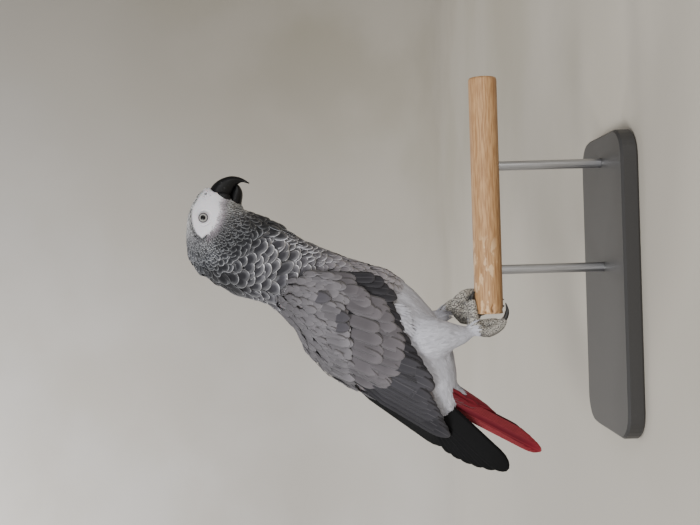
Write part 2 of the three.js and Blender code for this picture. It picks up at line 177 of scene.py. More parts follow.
def made(form):
    """A smooth mesh from a bmesh form."""
    mesh = bpy.data.meshes.new("made")
    form.to_mesh(mesh)
    form.free()
    mesh.polygons.foreach_set("use_smooth", [True] * len(mesh.polygons))
    return mesh


def modified(mesh, kind, **settings):
    """The mesh after one modifier."""
    holder = new_object("holder", mesh)
    change = holder.modifiers.new(kind, kind)
    for name, value in settings.items():
        setattr(change, name, value)
    changed = bpy.data.meshes.new_from_object(
        holder.evaluated_get(bpy.context.evaluated_depsgraph_get())
    )
    bpy.data.objects.remove(holder)
    return changed


def rows_of(items, what, each=3, kind=float):
    """What the items of a mesh hold, as an array with a row for each."""
    flat = np.zeros(len(items) * each, kind)
    items.foreach_get(what, flat)
    return flat.reshape(-1, each)


def places(mesh):
    return rows_of(mesh.vertices, "co")


def mark(mesh, name, values):
    """Keeps a number or a colour for each vertex under a name."""
    kind, field = ("FLOAT_COLOR", "color") if values.ndim == 2 else ("FLOAT", "value")
    mesh.attributes.new(name, kind, "POINT").data.foreach_set(field, values.ravel())


def settle(mesh, points):
    mesh.vertices.foreach_set("co", points.ravel())
    mesh.update()


def spread(mesh, values, rounds, share=0.5, where=None):
    """Blends each vertex's values with its neighbours'. A second, outward share keeps the bulk."""
    a, b = rows_of(mesh.edges, "vertices", 2, int).T
    count = np.maximum(np.bincount(np.append(a, b), minlength=len(values)), 1)[:, None]
    flat = values.reshape(len(values), -1).copy()
    weight = 1.0 if where is None else where[:, None]
    for _ in range(rounds):
        for step in np.atleast_1d(share):
            total = [np.bincount(a, column[b], len(flat)) + np.bincount(b, column[a], len(flat))
                     for column in flat.T]
            flat += step * weight * (np.stack(total, 1) / count - flat)
    return flat.reshape(values.shape)


def relax(mesh, rounds, share, where=None):
    settle(mesh, spread(mesh, places(mesh), rounds, share, where))


def tree_of(mesh):
    return BVHTree.FromPolygons(places(mesh).tolist(), [list(p.vertices) for p in mesh.polygons])


def form_of(*nodes):
    """The shapes of those nodes as one bmesh form."""
    form = bmesh.new()
    for node in nodes:
        form.from_mesh(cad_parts[node].data)
    return form


def flesh_copy(node):
    """A closed copy of a part of the flesh, a little fatter, so that neighbours run together."""
    form = form_of(node)
    bmesh.ops.remove_doubles(form, verts=form.verts, dist=1e-6)
    if node.startswith("wing"):
        cut = bmesh.ops.bisect_plane(
            form, geom=form.verts[:] + form.edges[:] + form.faces[:],
            plane_co=(WING_FLESH_END, 0, 0), plane_no=(-1, 0, 0), clear_outer=True,
        )["geom_cut"]
        bmesh.ops.holes_fill(form, edges=[e for e in cut if isinstance(e, bmesh.types.BMEdge)])
    form.normal_update()
    for vertex in form.verts:
        vertex.co += vertex.normal * FLESH_SWELL * MM
    bmesh.ops.triangulate(form, faces=form.faces)
    return form


def refined(mesh, where, rounds):
    """The mesh with the faces round the chosen vertices split finer, and rounded off."""
    for _ in range(rounds):
        chosen = where(places(mesh))
        form = bmesh.new()
        form.from_mesh(mesh)
        form.verts.ensure_lookup_table()
        lines = [e for e in form.edges if chosen[e.verts[0].index] and chosen[e.verts[1].index]]
        bmesh.ops.subdivide_edges(form, edges=lines, cuts=1, use_grid_fill=True)
        bpy.data.meshes.remove(mesh)
        mesh = made(form)
        relax(mesh, 3, (0.5, -0.5), where(places(mesh)).astype(float))
    return mesh


def on_face(at):
    return (inside_face(at) > -2.5 * MM) & (at[:, 0] < 112 * MM)


def on_lids(at):
    outside = [round_eye(at, side) for side in SIDES]
    return np.any([(h > 0) & (r < LID_OPENING + LID_WIDTH) for h, r in outside], axis=0)


def on_feet(at):
    low = np.minimum(*[np.array(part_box("foot_" + side)[0]) for side in SIDES]) - 2 * MM
    high = np.maximum(*[np.array(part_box("foot_" + side)[1]) for side in SIDES]) + 2 * MM
    return np.all((at > low) & (at < high), axis=1)


gathered = bmesh.new()
flesh_trees = []
for node in [*FLESH, "eye_right", "eye_left"]:
    copy = flesh_copy(node)
    if node in FLESH:
        flesh_trees.append(BVHTree.FromBMesh(copy))
    part = made(copy)
    gathered.from_mesh(part)
    bpy.data.meshes.remove(part)
skin = modified(made(gathered), "REMESH", mode="VOXEL", voxel_size=SKIN_GRAIN,
                use_smooth_shade=True)
broad = 1 - on_feet(places(skin)).astype(float)
relax(skin, 6, (0.5, -0.52))
flesh_tree = tree_of(skin)
relax(skin, JOIN_ROUNDS, (0.6, -0.606), broad)
at, out = places(skin), rows_of(skin.vertices, "normal")
nearest = np.array([flesh_tree.find_nearest(Vector(place))[0] for place in at])
short = spread(skin, ((nearest - at) * out).sum(1), 24)
settle(skin, at + out * (short * broad)[:, None])
for where, rounds in ((on_feet, 1), (on_face, 1), (on_lids, 2)):
    skin = refined(skin, where, rounds)

# How much each vertex belongs to each part, blended over the joints between them.
at = places(skin)
apart = np.array([[tree.find_nearest(Vector(p))[3] for tree in flesh_trees] for p in at])
belongs = spread(skin, (apart <= apart.min(1)[:, None] + 1e-9).astype(float), 4)
belongs /= belongs.sum(1)[:, None]
reach, turn, _ = along_body(at)
is_head = belongs[:, 0] > 0.5
face = inside_face(at)
bare = np.where(is_head, smooth_step(-5 * MM, 0, face), 0)
depth = belongs @ np.array(list(FLESH.values())) * MM * (1 - bare)
depth *= np.where(is_head, smooth_step(-6 * MM, 26 * MM, reach) * 0.7 + 0.3, 1)
throat = np.hypot(at[:, 0] - THROAT["x"], at[:, 2] - THROAT["z"]) / THROAT["reach"]
depth += THROAT["hollow"] * (1 - smooth_step(0.2, 1, throat))
depth = spread(skin, depth, 4)
settle(skin, at - rows_of(skin.vertices, "normal") * depth[:, None])
relax(skin, 3, (0.5, -0.52))

# The lids stand up round the eyeball and run out in fine folds, and the nostrils are pits.
at = places(skin)
lid_shade = np.zeros(len(at))
for side in SIDES:
    height, radius = round_eye(at, side)
    ball = np.sqrt(np.clip(EYE_RADIUS**2 - radius**2, 0, None))
    out = (radius - LID_OPENING) / LID_WIDTH
    near = (height > 0) & (out < 1)
    fold = FOLD_HEIGHT * np.sin(out * LID_FOLDS * 2 * math.pi)
    fold = fold * smooth_step(0.1, 0.25, out) * (1 - out)
    edge = ball + LID_HEIGHT - 0.9 * MM * np.clip(out, 0, 1)
    rim = np.maximum(edge, height * 0.5 + edge * 0.5)
    lid = rim + (height - rim) * smooth_step(0.12, 0.9, out) + fold
    sunk = ball - 1.2 * MM
    lifted = np.where(out < 0, sunk + (lid - sunk) * smooth_step(-0.09, 0, out), lid)
    at[near] += np.outer((lifted - height)[near], np.array(GAZE[side]))
    ring = 1 - smooth_step(0.0, 0.06, np.abs(out - 0.05) - 0.05)
    second = 0.35 * (1 - smooth_step(0.0, 0.05, np.abs(out - 0.3) - 0.02))
    lid_shade = np.where(near, np.maximum(lid_shade, ring + second), lid_shade)
nostril_gap = np.hypot(at[:, 0] - NOSTRIL["x"], at[:, 2] - NOSTRIL["z"])
pit = 1 - smooth_step(0.6, 1.25, nostril_gap / NOSTRIL["radius"])
swell = 1 - smooth_step(0, NOSTRIL["swollen"], nostril_gap)
side_way = np.sign(at[:, 1]) * (np.abs(at[:, 1]) > 2 * MM)
at[:, 1] += side_way * (NOSTRIL["swelling"] * swell - NOSTRIL["deep"] * pit)
settle(skin, at)


def shade(red, green, blue):
    """A colour given in 0 to 255 steps, as light."""
    return tuple(((c / 255 + 0.055) / 1.055) ** 2.4 for c in (red, green, blue))


def blend(values, stops, colours):
    """Colours read off a line of stops."""
    return np.stack([np.interp(values, stops, np.array(colours)[:, k]) for k in range(3)], 1)


def over(colours, colour, share):
    """The colours with a share of another one laid over them."""
    return colours * (1 - share[:, None]) + np.array(colour) * share[:, None]


def rgba(colours, alpha=1.0, tone=1.0):
    """Colours, made lighter or darker by a tone, and their alpha."""
    toned = np.atleast_2d(colours) * tone
    return np.concatenate([toned, np.broadcast_to(alpha, (len(toned),))[:, None]], 1)


def downy(reach, turn):
    """How far the feathers are soft plumes: wholly on the vent, not on the breast and back."""
    low = np.abs(turn) / math.pi + 0.2 * smooth_step(195 * MM, 235 * MM, reach)
    return smooth_step(150 * MM, 200 * MM, reach) * smooth_step(0.3, 0.6, low)


# The colours of the feathers' middles and edges, read by distance down the body in mm.
DOWN = (0, 10, 25, 40, 62, 90, 125, 165, 205, 280)
GREYS = [shade(*c) for c in ((164, 164, 162), (130, 129, 129), (56, 56, 59), (40, 42, 46),
                             (46, 46, 51), (64, 63, 68), (84, 81, 85), (108, 105, 109),
                             (182, 182, 189), (200, 200, 207))]
PALES = [shade(*c) for c in ((222, 222, 220), (204, 204, 202), (166, 166, 168), (164, 166, 170),
                             (214, 214, 219), (216, 215, 220), (188, 186, 190), (190, 189, 194),
                             (214, 214, 220), (222, 222, 227))]
WHITE_SKIN = shade(214, 212, 216)
MAUVE = shade(126, 117, 126)
LID_RIM = shade(58, 55, 58)
WING_GREY = shade(118, 113, 116)
THIGH_GREY = shade(180, 180, 187)
RED = shade(124, 20, 36)
FOOT_GREY = shade(92, 88, 86)
flesh_colours = {"undertail": RED}
for side in SIDES:
    flesh_colours |= {"thigh_" + side: THIGH_GREY, "foot_" + side: FOOT_GREY, "wing_" + side: WING_GREY}
body_colour = over(blend(reach / MM, DOWN, GREYS) * 0.8, THIGH_GREY, downy(reach, turn))
tints = sum(
    belongs[:, [k]] * np.array(flesh_colours.get(node, body_colour))
    for k, node in enumerate(FLESH)
)
under_face = smooth_step(349 * MM, 343 * MM, at[:, 2])
open_face = np.where(is_head, smooth_step(-1.6 * MM - 5 * MM * under_face, 0.6 * MM, face), 0)
mauve = np.where(is_head, smooth_step(-9 * MM, -1 * MM, face) * under_face, 0)
for colour, share in ((MAUVE, mauve), (WHITE_SKIN, open_face), (LID_RIM, np.clip(lid_shade, 0, 1))):
    tints = over(tints, colour, share)
# Painted shade in the nostril pits: the skin darkens towards the middle of each pit.
tints *= 1 - 0.85 * (pit * is_head)[:, None]
mark(skin, "tint", rgba(tints))
mark(skin, "bare", open_face)
mark(skin, "cere", open_face * (1 - smooth_step(2.5 * MM, 7 * MM, nostril_gap)))


class Value:
    """An output of a finish's node. Arithmetic on it adds Math nodes."""

    def __init__(self, finish, socket):
        self.finish = finish
        self.socket = socket

    def math(self, operation, *values):
        return self.finish.node("Math", {"operation": operation}, dict(enumerate(values)))

    def __add__(self, other):
        return self.math("ADD", self, other)

    def __sub__(self, other):
        return self.math("SUBTRACT", self, other)

    def __rsub__(self, other):
        return self.math("SUBTRACT", other, self)

    def __mul__(self, other):
        return self.math("MULTIPLY", self, other)

    def __pow__(self, other):
        return self.math("POWER", self, other)

    def __abs__(self):
        return self.math("ABSOLUTE", self)

    __radd__ = __add__
    __rmul__ = __mul__

    def sine(self):
        return self.math("SINE", self)

    def most(self, other):
        return self.math("MAXIMUM", self, other)

    def between(self, low, high):
        """0 below low, 1 above high, and a smooth step between them."""
        limits = {"Value": self, "From Min": low, "From Max": high}
        return self.finish.node("MapRange", {"interpolation_type": "SMOOTHSTEP"}, limits)


class Finish:
    """A material with one Principled shader. Numbers that stay the same are set on its sockets."""

    def __init__(self, name, **constants):
        self.material = bpy.data.materials.new(name)
        self.material.use_nodes = True
        self.nodes = self.material.node_tree.nodes
        self.shader = self.nodes["Principled BSDF"]
        for socket, value in constants.items():
            self.plug(self.shader.inputs[socket.replace("_", " ")], value)

    def plug(self, socket, value):
        if isinstance(value, Value):
            self.material.node_tree.links.new(value.socket, socket)
        elif isinstance(value, tuple) and socket.type == "RGBA":
            socket.default_value = (*value, 1)
        else:
            socket.default_value = value

    def node(self, kind, settings=None, inputs=None, output=0):
        """One node of that type: its settings first, then its inputs by number or identifier."""
        added = self.nodes.new("ShaderNode" + kind)
        for name, value in (settings or {}).items():
            setattr(added, name, value)
        named = {socket.identifier: socket for socket in added.inputs}
        for name, value in (inputs or {}).items():
            self.plug(added.inputs[name] if isinstance(name, int) else named[name], value)
        outputs = {socket.identifier: socket for socket in added.outputs}
        return Value(self, added.outputs[output] if isinstance(output, int) else outputs[output])

    def mix(self, share, a, b):
        sockets = {"Factor_Float": share, "A_Color": a, "B_Color": b}
        return self.node("Mix", {"data_type": "RGBA"}, sockets, "Result_Color")

    def place(self):
        return self.node("TexCoord", output="Object")

    def stretched(self, x, y, z):
        return self.node("Mapping", None, {"Vector": self.place(), "Scale": (x, y, z)})

    def noise(self, scale, detail=2.0, where=None):
        sockets = {"Vector": where or self.place(), "Scale": scale, "Detail": detail}
        return self.node("TexNoise", None, sockets, "Fac")

    def attribute(self, name, output="Color"):
        return self.node("Attribute", {"attribute_name": name}, None, output)

    def bump(self, height, distance, strength):
        sockets = {"Height": height, "Distance": distance, "Strength": strength}
        return self.node("Bump", None, sockets)

    def on(self, *shown):
        for one in shown:
            one.data.materials.clear()
            one.data.materials.append(self.material)

    def feed(self, **links):
        for name, value in links.items():
            self.plug(self.shader.inputs[name.replace("_", " ")], value)
        return self


skin_finish = Finish("skin", Roughness=0.55, Subsurface_Weight=0.08, Subsurface_Scale=0.002)
bare_mask = skin_finish.attribute("bare", "Fac")
mottle = skin_finish.noise(260.0, 3.0)
skin_colour = skin_finish.mix(bare_mask * mottle * 0.25, skin_finish.attribute("tint"),
                              shade(170, 160, 168))
fleck = skin_finish.noise(1100.0, 3.0).between(0.56, 0.64) * skin_finish.attribute("cere", "Fac")
skin_colour = skin_finish.mix(fleck * 0.75, skin_colour, shade(84, 80, 82))
wrinkle = skin_finish.noise(1500.0, 2.0) * bare_mask * 0.5
skin_finish.feed(Base_Color=skin_colour, Normal=skin_finish.bump(wrinkle, 0.25 * MM, 0.5))
skin_finish.on(piece("skin", skin, FLESH_NAMES))

# ---- Eyes ----
# Wet round eyeballs under the lids: a black pupil, a pale grey iris and a thin dark ring round it.
# Each is a ball turned to its gaze, coloured by the distance from the gaze's line.
PUPIL = 2.1 * MM
IRIS = 3.3 * MM

eye_finish = Finish("eye", Roughness=0.35, Specular_IOR_Level=0.15, Coat_Weight=0.12, Coat_Roughness=0.05)
from_gaze = eye_finish.attribute("from_gaze", "Fac")
threads = eye_finish.noise(900.0, 2.0)
iris_colour = eye_finish.mix(threads, shade(174, 173, 170), shade(132, 131, 129))
iris_colour = eye_finish.mix(from_gaze.between(PUPIL, PUPIL * 1.4), shade(120, 117, 112), iris_colour)
eye_colour = eye_finish.mix(from_gaze.between(PUPIL * 0.93, PUPIL * 1.05), shade(3, 3, 4), iris_colour)
eye_colour = eye_finish.mix(from_gaze.between(IRIS * 0.93, IRIS * 1.02), eye_colour, shade(40, 37, 38))
eye_finish.feed(Base_Color=eye_colour)
for side in SIDES:
    form = bmesh.new()
    bmesh.ops.create_uvsphere(form, u_segments=48, v_segments=32, radius=EYE_RADIUS)
    aim = GAZE[side].to_track_quat("Z", "Y").to_matrix().to_4x4()
    bmesh.ops.transform(form, matrix=Matrix.Translation(EYE[side]) @ aim, verts=form.verts)
    ball = made(form)
    mark(ball, "from_gaze", round_eye(places(ball), side)[1])
    eye_finish.on(piece("eye_" + side + "_ball", ball, ["eye_" + side]))

# ---- Bill ----
# A strong hooked bill of black horn over a short cupped lower one, scuffed pale in places. Both grow
# out of the face, and a round lobe on each side swells the root of the upper one.

# Each station is x, z, reach to the ridge, reach to the mouth, and half width, in mm.
UPPER_BILL = [(113.7, 312.5, 0.5, 0.5, 0.5), (116.4, 319.5, 2.1, 2.3, 2.2), (116, 327, 4.4, 8.6, 4.6),
              (112.3, 334, 6.4, 13, 6.5), (107, 338.6, 7.6, 14, 7.6),
              (101.5, 339.5, 8.0, 13, 7.8)]
LOBE = {"at": (101.6, 7.9, 335.4), "reach": (4.8, 3.4, 8.0), "lean": math.radians(4)}
LOWER_BILL = [(112.8, 324, 0.7, 0.8, 2.2), (110.6, 322.6, 2, 2.6, 4.6),
              (105.5, 322.8, 4.3, 5.3, 6.2), (98, 325.5, 3.6, 7.3, 7)]


def wrapped(around, along, place):
    """A grid rolled up into a closed form, with its points where place(turn, share) says."""
    form = bmesh.new()
    bmesh.ops.create_grid(form, x_segments=around, y_segments=along, size=1)
    flat = np.array([v.co.xy for v in form.verts])
    for vertex, point in zip(form.verts, place(math.pi * flat[:, 0], (flat[:, 1] + 1) / 2)):
        vertex.co = point
    bmesh.ops.remove_doubles(form, verts=form.verts, dist=1e-6)
    bmesh.ops.holes_fill(form, edges=form.edges[:])
    bmesh.ops.recalc_face_normals(form, faces=form.faces)
    return form


def horn(stations, ridge):
    """A bill's half along its stations. ridge is how sharp its outer edge is."""
    fine = through(stations, 200) * MM
    run = unit(np.gradient(fine[:, :2], axis=0))

    def place(turn, share):
        at = np.rint(share * 199).astype(int)
        x, z, up, down, side = fine[at].T
        rise = np.cos(turn)
        sharp = 1 - ridge * np.clip(rise, 0, 1) ** 2
        height = np.where(rise > 0, up, down * 0.85) * np.sign(rise) * np.abs(rise) ** 0.9
        return np.stack([x + run[at, 1] * height, np.sin(turn) * side * sharp,
                         z - run[at, 0] * height], 1)

    return made(wrapped(40, 48, place))


bill_finish = Finish("bill_horn", Specular_IOR_Level=0.22, Coat_Weight=0.05, Coat_Roughness=0.35)
scuff = bill_finish.noise(420.0, 5.0).between(0.6, 0.72)
worn = bill_finish.noise(90.0, 3.0).between(0.5, 0.75)
layers = bill_finish.noise(260.0, 3.0, bill_finish.stretched(1, 1, 5))
bill_colour = bill_finish.mix(worn * 0.6, shade(7, 7, 8), shade(22, 21, 21))
bill_colour = bill_finish.mix(scuff * worn, bill_colour, shade(110, 110, 108))
bill_finish.feed(Base_Color=bill_colour, Roughness=worn * 0.3 + 0.42,
                 Normal=bill_finish.bump(layers + scuff * 0.5, 0.3 * MM, 0.5))
form = bmesh.new()
form.from_mesh(horn(UPPER_BILL, 0.25))
for sign in SIDES.values():
    lobe = bmesh.ops.create_uvsphere(form, u_segments=28, v_segments=18, radius=MM)["verts"]
    x, y, z = LOBE["at"]
    bmesh.ops.scale(form, verts=lobe, vec=LOBE["reach"])
    bmesh.ops.rotate(form, verts=lobe, matrix=Matrix.Rotation(LOBE["lean"], 3, "Y"))
    bmesh.ops.translate(form, verts=lobe, vec=Vector((x, sign * y, z)) * MM)
bill_finish.on(piece("bill_upper_horn", made(form), ["bill_upper"]),
               piece("bill_lower_horn", horn(LOWER_BILL, 0.0), ["bill_lower"]))

# ---- Feathers of the body ----
# Small feathers of keratin, each rooted in the skin with its vane over the roots of the next ones:
# speckled on the crown, scalloped with pale edges down the neck, and paler and softer to the belly.
PATCH_SIZE = 0.003  # of one feather on the unwrap
TRIES = 4  # places tried for each feather that would fit


def feather_form(rows, columns):
    """A thin closed feather: its vertices' across and along places, and its faces."""
    form = bmesh.new()
    bmesh.ops.create_grid(form, x_segments=columns, y_segments=rows, size=1)
    rims = [e for e in form.edges if all(abs(v.co.x) > 0.99 for v in e.verts)]
    bmesh.ops.bridge_loops(form, edges=rims)
    bmesh.ops.holes_fill(form, edges=form.edges[:])
    for vertex in form.verts:
        vertex.co.z = 0.3 * (1 - vertex.co.x**2)
    bmesh.ops.recalc_face_normals(form, faces=form.faces)
    form.verts.index_update()
    across = np.array([v.co.x for v in form.verts])
    row = np.rint((np.array([v.co.y for v in form.verts]) + 1) / 2 * rows).astype(int)
    faces = [[v.index for v in f.verts] for f in form.faces]
    form.free()
    return across, row, faces


class Coat:
    """Feathers gathered into one mesh."""

    def __init__(self, name):
        self.name = name
        self.start = 0
        self.parts = []

    def add(self, shape, points, patch, tint, rim):
        """Feathers of one shape: points by feather and vertex; patch, tint and rim by feather."""
        across, row, faces = shape.form
        count, each = points.shape[:2]
        corner = np.concatenate(faces)
        offsets = self.start + np.arange(count) * each
        past = (shape.shares - shape.fullest) / (1 - shape.fullest)
        vane = np.stack([across * shape.widths[row], past[row]], 1)
        local = PATCH_SIZE * np.stack([across / 2, shape.shares[row] - 0.5], 1)
        self.parts.append((
            points.reshape(-1, 3), (offsets[:, None] + corner).ravel(),
            np.tile([len(f) for f in faces], count), np.tile(vane[corner], (count, 1)),
            np.repeat(patch, len(corner), 0) + np.tile(local[corner], (count, 1)),
            np.repeat(tint, each, 0), np.repeat(rim, each, 0),
        ))
        self.start += count * each

    def mesh(self, smooth):
        points, loops, sizes, vanes, patches, tints, rims = map(np.concatenate, zip(*self.parts))
        mesh = bpy.data.meshes.new(self.name)
        mesh.vertices.add(len(points))
        mesh.vertices.foreach_set("co", points.ravel())
        mesh.loops.add(len(loops))
        mesh.loops.foreach_set("vertex_index", loops)
        mesh.polygons.add(len(sizes))
        mesh.polygons.foreach_set("loop_start", np.concatenate([[0], np.cumsum(sizes)[:-1]]))
        mesh.polygons.foreach_set("use_smooth", np.full(len(sizes), smooth))
        mesh.update(calc_edges=True)
        for label, values in (("vane", vanes), ("OFBake", patches)):
            mesh.uv_layers.new(name=label).uv.foreach_set("vector", values.ravel())
        mark(mesh, "tint", tints)
        mark(mesh, "rim", rims)
        return mesh

    def show(self, finish, replaces=(), smooth=True):
        finish.on(piece(self.name, self.mesh(smooth), replaces))


skin_tree = tree_of(skin)
skin.calc_loop_triangles()
skin_corners = rows_of(skin.loop_triangles, "vertices", 3, int)
dice = np.random.default_rng(7)
NEIGHBOURS = [(i, j, k) for i in (0, -1, 1) for j in (0, -1, 1) for k in (0, -1, 1)]


def chance(spread, *size):
    """Factors round 1."""
    return 1 + spread * dice.normal(size=size)


def strayed(headings, share):
    return unit(headings + share * dice.normal(size=headings.shape))


# The lower edge of the scapulars, as heights in mm over distances along the body.
SCAPULAR_EDGE = ((-75, -55, -44, -31, -17, 17, 40), (200, 236, 247, 268, 282, 297, 306))


def under_scapulars(at, past):
    """Whether places lie on the sides of the back, from past along the body on."""
    high = at[:, 2] > np.interp(at[:, 0] / MM, *SCAPULAR_EDGE) * MM
    return high & (np.abs(at[:, 1]) > 6 * MM) & (along_body(at)[0] > past)


def scatter(wanted, gap_at, flow_at, squash=0.55):
    """Roots of feathers on the skin, at least a gap apart across the way they point, and that gap
    times squash along it. wanted and gap_at are called with places, the skin's normals there and
    the number of the part that each place belongs to most."""
    a, b, c = (places(skin)[skin_corners[:, k]] for k in range(3))
    cross = np.cross(b - a, c - a)
    area = np.linalg.norm(cross, axis=1)
    middle = (a + b + c) / 3
    part = np.argmax(belongs[skin_corners].mean(1), axis=1)
    inside = wanted(middle, unit(cross), part)
    gap = gap_at(middle, unit(cross), part)
    weight = np.where(inside, area / (gap**2 * squash), 0)
    tries = int(weight.sum() * TRIES)
    pick = dice.choice(len(area), tries, p=weight / weight.sum())
    u, v = np.sqrt(dice.random((tries, 1))), dice.random((tries, 1))
    spot = a[pick] * (1 - u) + b[pick] * u * (1 - v) + c[pick] * u * v
    gap = gap[pick]
    flow = flow_at(spot, part[pick])
    stretch = 1 / squash**2 - 1
    keys = np.floor(spot / gap.max()).astype(int).tolist()
    taken, kept = {}, []
    for i, (x, y, z) in enumerate(keys):
        px, py, pz = spot[i].tolist()
        fx, fy, fz = flow[i].tolist()
        room = gap[i] ** 2
        for qx, qy, qz in (q for k in NEIGHBOURS for q in taken.get((x + k[0], y + k[1], z + k[2]), ())):
            dx, dy, dz = px - qx, py - qy, pz - qz
            along = dx * fx + dy * fy + dz * fz
            if dx * dx + dy * dy + dz * dz + stretch * along * along < room:
                break
        else:
            taken.setdefault((x, y, z), []).append((px, py, pz))
            kept.append(i)
    return spot[kept], part[pick[kept]], gap[kept], flow[kept]


def eased(rows, shares):
    """The rows of vectors along each feather, made the nearest parabola, without kinks."""
    flat = rows.transpose(1, 0, 2).reshape(len(shares), -1)
    fitted = np.vander(shares, 3) @ np.polyfit(shares, flat, 2)
    return fitted.reshape(len(shares), len(rows), 3).transpose(1, 0, 2)


def walk(roots, headings, lengths, shares, hold=0.0):
    """Middle lines of feathers that follow the skin from their roots, and the skin's normals there.
    hold keeps a long feather to its own heading."""
    line = np.zeros((len(roots), len(shares), 3))
    up = np.zeros_like(line)
    for i, root in enumerate(roots):
        place, normal = skin_tree.find_nearest(Vector(root))[:2]
        heading = Vector(headings[i])
        first = heading.copy()
        line[i, 0], up[i, 0] = place, normal
        for k in range(1, len(shares)):
            heading = heading.lerp(first, hold)
            heading = (heading - normal * heading.dot(normal)).normalized()
            stride = float(lengths[i] * (shares[k] - shares[k - 1]))
            ahead = place + heading * stride
            found, turned = skin_tree.find_nearest(ahead)[:2]
            if (found - ahead).length < 0.8 * MM + 0.2 * stride:
                place, normal = found, turned
            else:  # past an edge of the skin a feather goes straight on
                place = ahead
            line[i, k], up[i, k] = place, normal
    return eased(line, shares), unit(eased(up, shares))


def unwrap(points, island=0):
    """Where a root lies on an unwrap of the skin: round the body and down it, side by side."""
    reach, turn, _ = along_body(points)
    across = 0.02 + 0.18 * (turn / (2 * math.pi) + 0.5) + 0.2 * island
    return np.stack([across, 0.03 + 0.94 * reach / mid_reach[-1]], 1)


class Shape:
    """A feather's outline: it widens from its root to where it is fullest, and ends half round."""

    def __init__(self, shares, grown, fullest, root=0.4, tip=0.2, columns=4):
        self.shares = np.array(shares)
        self.fullest = fullest
        grow = root + (1 - root) * smooth_step(0, grown, self.shares)
        end = np.clip(self.shares - fullest, 0, 1) / (1 - fullest)
        self.widths = grow * np.sqrt(np.clip(1 - end**2, tip**2, 1))
        self.form = feather_form(len(shares) - 1, columns)


def vanes(shape, line, up, half, lift, crown, roll=0.0):
    """Vertices of feathers along their middle lines. half is the widest half width, lift the
    height over the skin at each row, crown how arched a vane is and roll its tilt."""
    across, row, _ = shape.form
    ahead = unit(np.gradient(line, axis=1))
    side = unit(np.cross(up, ahead))
    up = np.cross(ahead, side)
    wide = (half[:, None] * shape.widths[None])[:, row]
    tilt = np.reshape(roll, (-1, 1)) * across
    rise = lift[:, row] + wide * (crown * (1 - across**2) + tilt)
    return line[:, row] + side[:, row] * (across * wide)[..., None] + up[:, row] * rise[..., None]


SMALL = Shape((0, 0.34, 0.68, 0.9, 1.0), 0.4, 0.5, columns=2)
MEDIUM = Shape((0, 0.2, 0.4, 0.58, 0.72, 0.83, 0.92, 0.98, 1.0), 0.45, 0.55)


def plumage_finish(name, quill_share, barb_rate, sheen=0.1):
    """Feather horn: painted shade towards the roots, where the feathers above would shade them, pale along
    the edge, with fine barbs and a quill.
    """
    finish = Finish(name, Roughness=0.8, Sheen_Weight=sheen, Specular_IOR_Level=0.2)
    vane_map = finish.node("UVMap", {"uv_map": "vane"})
    side = abs(finish.node("SeparateXYZ", None, {0: vane_map}, 0))
    way = finish.node("SeparateXYZ", None, {0: vane_map}, 1)
    to_edge = (side**2 + way.most(0) ** 2) ** 0.5
    ruffle = finish.noise(700.0, 2.0) * 0.08 - 0.04
    rim_mask = (to_edge + ruffle - finish.attribute("tint", "Alpha")).between(0, 0.06)
    rim_share = finish.attribute("rim", "Alpha")
    quill = 1 - side.between(0.02, 0.06)
    barbs = ((way - side) * barb_rate).sine() * 0.2
    # Painted shade: towards its root each feather darkens nearly to black, as where the feathers over it
    # shade it; the rim's alpha sets how much.
    colour = finish.mix((1 - way.between(-0.6, 0.7)) * rim_share * 0.6, finish.attribute("tint"),
                        (0.008, 0.008, 0.01))
    lighter = to_edge.between(0.3, 1.0) * rim_share * 0.2
    edged = (rim_mask * rim_share).most(quill * quill_share).most(lighter)
    colour = finish.mix(edged, colour, finish.attribute("rim"))
    return finish.feed(Base_Color=colour, Normal=finish.bump(barbs + quill, 0.06 * MM, 0.4))


plumage = plumage_finish("plumage", 0.0, 70)

BACK_GAPS = (2.2, 2.4, 2.8, 4.8, 7.6, 8.2, 8.2, 8.0, 8.0, 7.5)  # mm between roots, on the back
FRONT_GAPS = (2.0, 2.2, 3.2, 5.5, 7.8, 7.2, 6.0, 6.0, 6.5, 6.5)  # and on the breast and belly


def between(reach, a, b, c, d):
    """1 from b to c mm down the body, and 0 before a and after d."""
    return smooth_step(a * MM, b * MM, reach) * (1 - smooth_step(c * MM, d * MM, reach))


def forward(at):
    """How far feathers on the sides of the neck turn towards the breast."""
    reach, turn, _ = along_body(at)
    return between(reach, 30, 48, 112, 140) * smooth_step(0.2, 0.9, np.abs(np.sin(turn)))


def body_flow(at, part=None):
    """Which way feathers point: to the tail, below the face also away from it, and on the sides
    of the neck towards the breast."""
    heading = along_body(at)[2]
    away = at - np.array([FACE_MIDDLE[0], 0, FACE_MIDDLE[1]])
    away[:, 1] = 0
    away = unit(away)
    away[:, 2] = np.minimum(away[:, 2], 0)
    near = 1 - smooth_step(8 * MM, 36 * MM, -inside_face(at))
    return unit(heading + 1.3 * near[:, None] * away + 1.15 * forward(at)[:, None] * (1, 0, 0))


def body_gap(at, normal, part):
    reach, turn, _ = along_body(at)
    under = smooth_step(0.45, 0.75, np.abs(turn) / math.pi)
    gap = (np.interp(reach / MM, DOWN, BACK_GAPS) * (1 - under)
           + np.interp(reach / MM, DOWN, FRONT_GAPS) * under)
    near = np.interp(-inside_face(at) / MM, (0, 6, 12, 20, 30, 42), (1.2, 1.4, 2.0, 3.6, 6.2, 8))
    return np.where(reach < 75 * MM, np.minimum(gap + 2, near), gap) * MM


FINE = 2.6 * MM  # the widest gap between the feathers of the head's coat
FIRM_END = 0.4  # how downy the last firm feathers are
SCAPULARS_OVER = 103 * MM  # from here down the body they cover the sides of the back
LIE = 0.05  # how much even a flat feather rises along its length


def firm(at):
    """Where the body bears firm feathers: round the bare face, and up to the down and the
    scapulars."""
    edge = np.where(at[:, 2] < 345 * MM, -1.0, 0.3) * MM
    return ((downy(*along_body(at)[:2]) < FIRM_END) & (-inside_face(at) > edge)
            & ~under_scapulars(at, SCAPULARS_OVER))


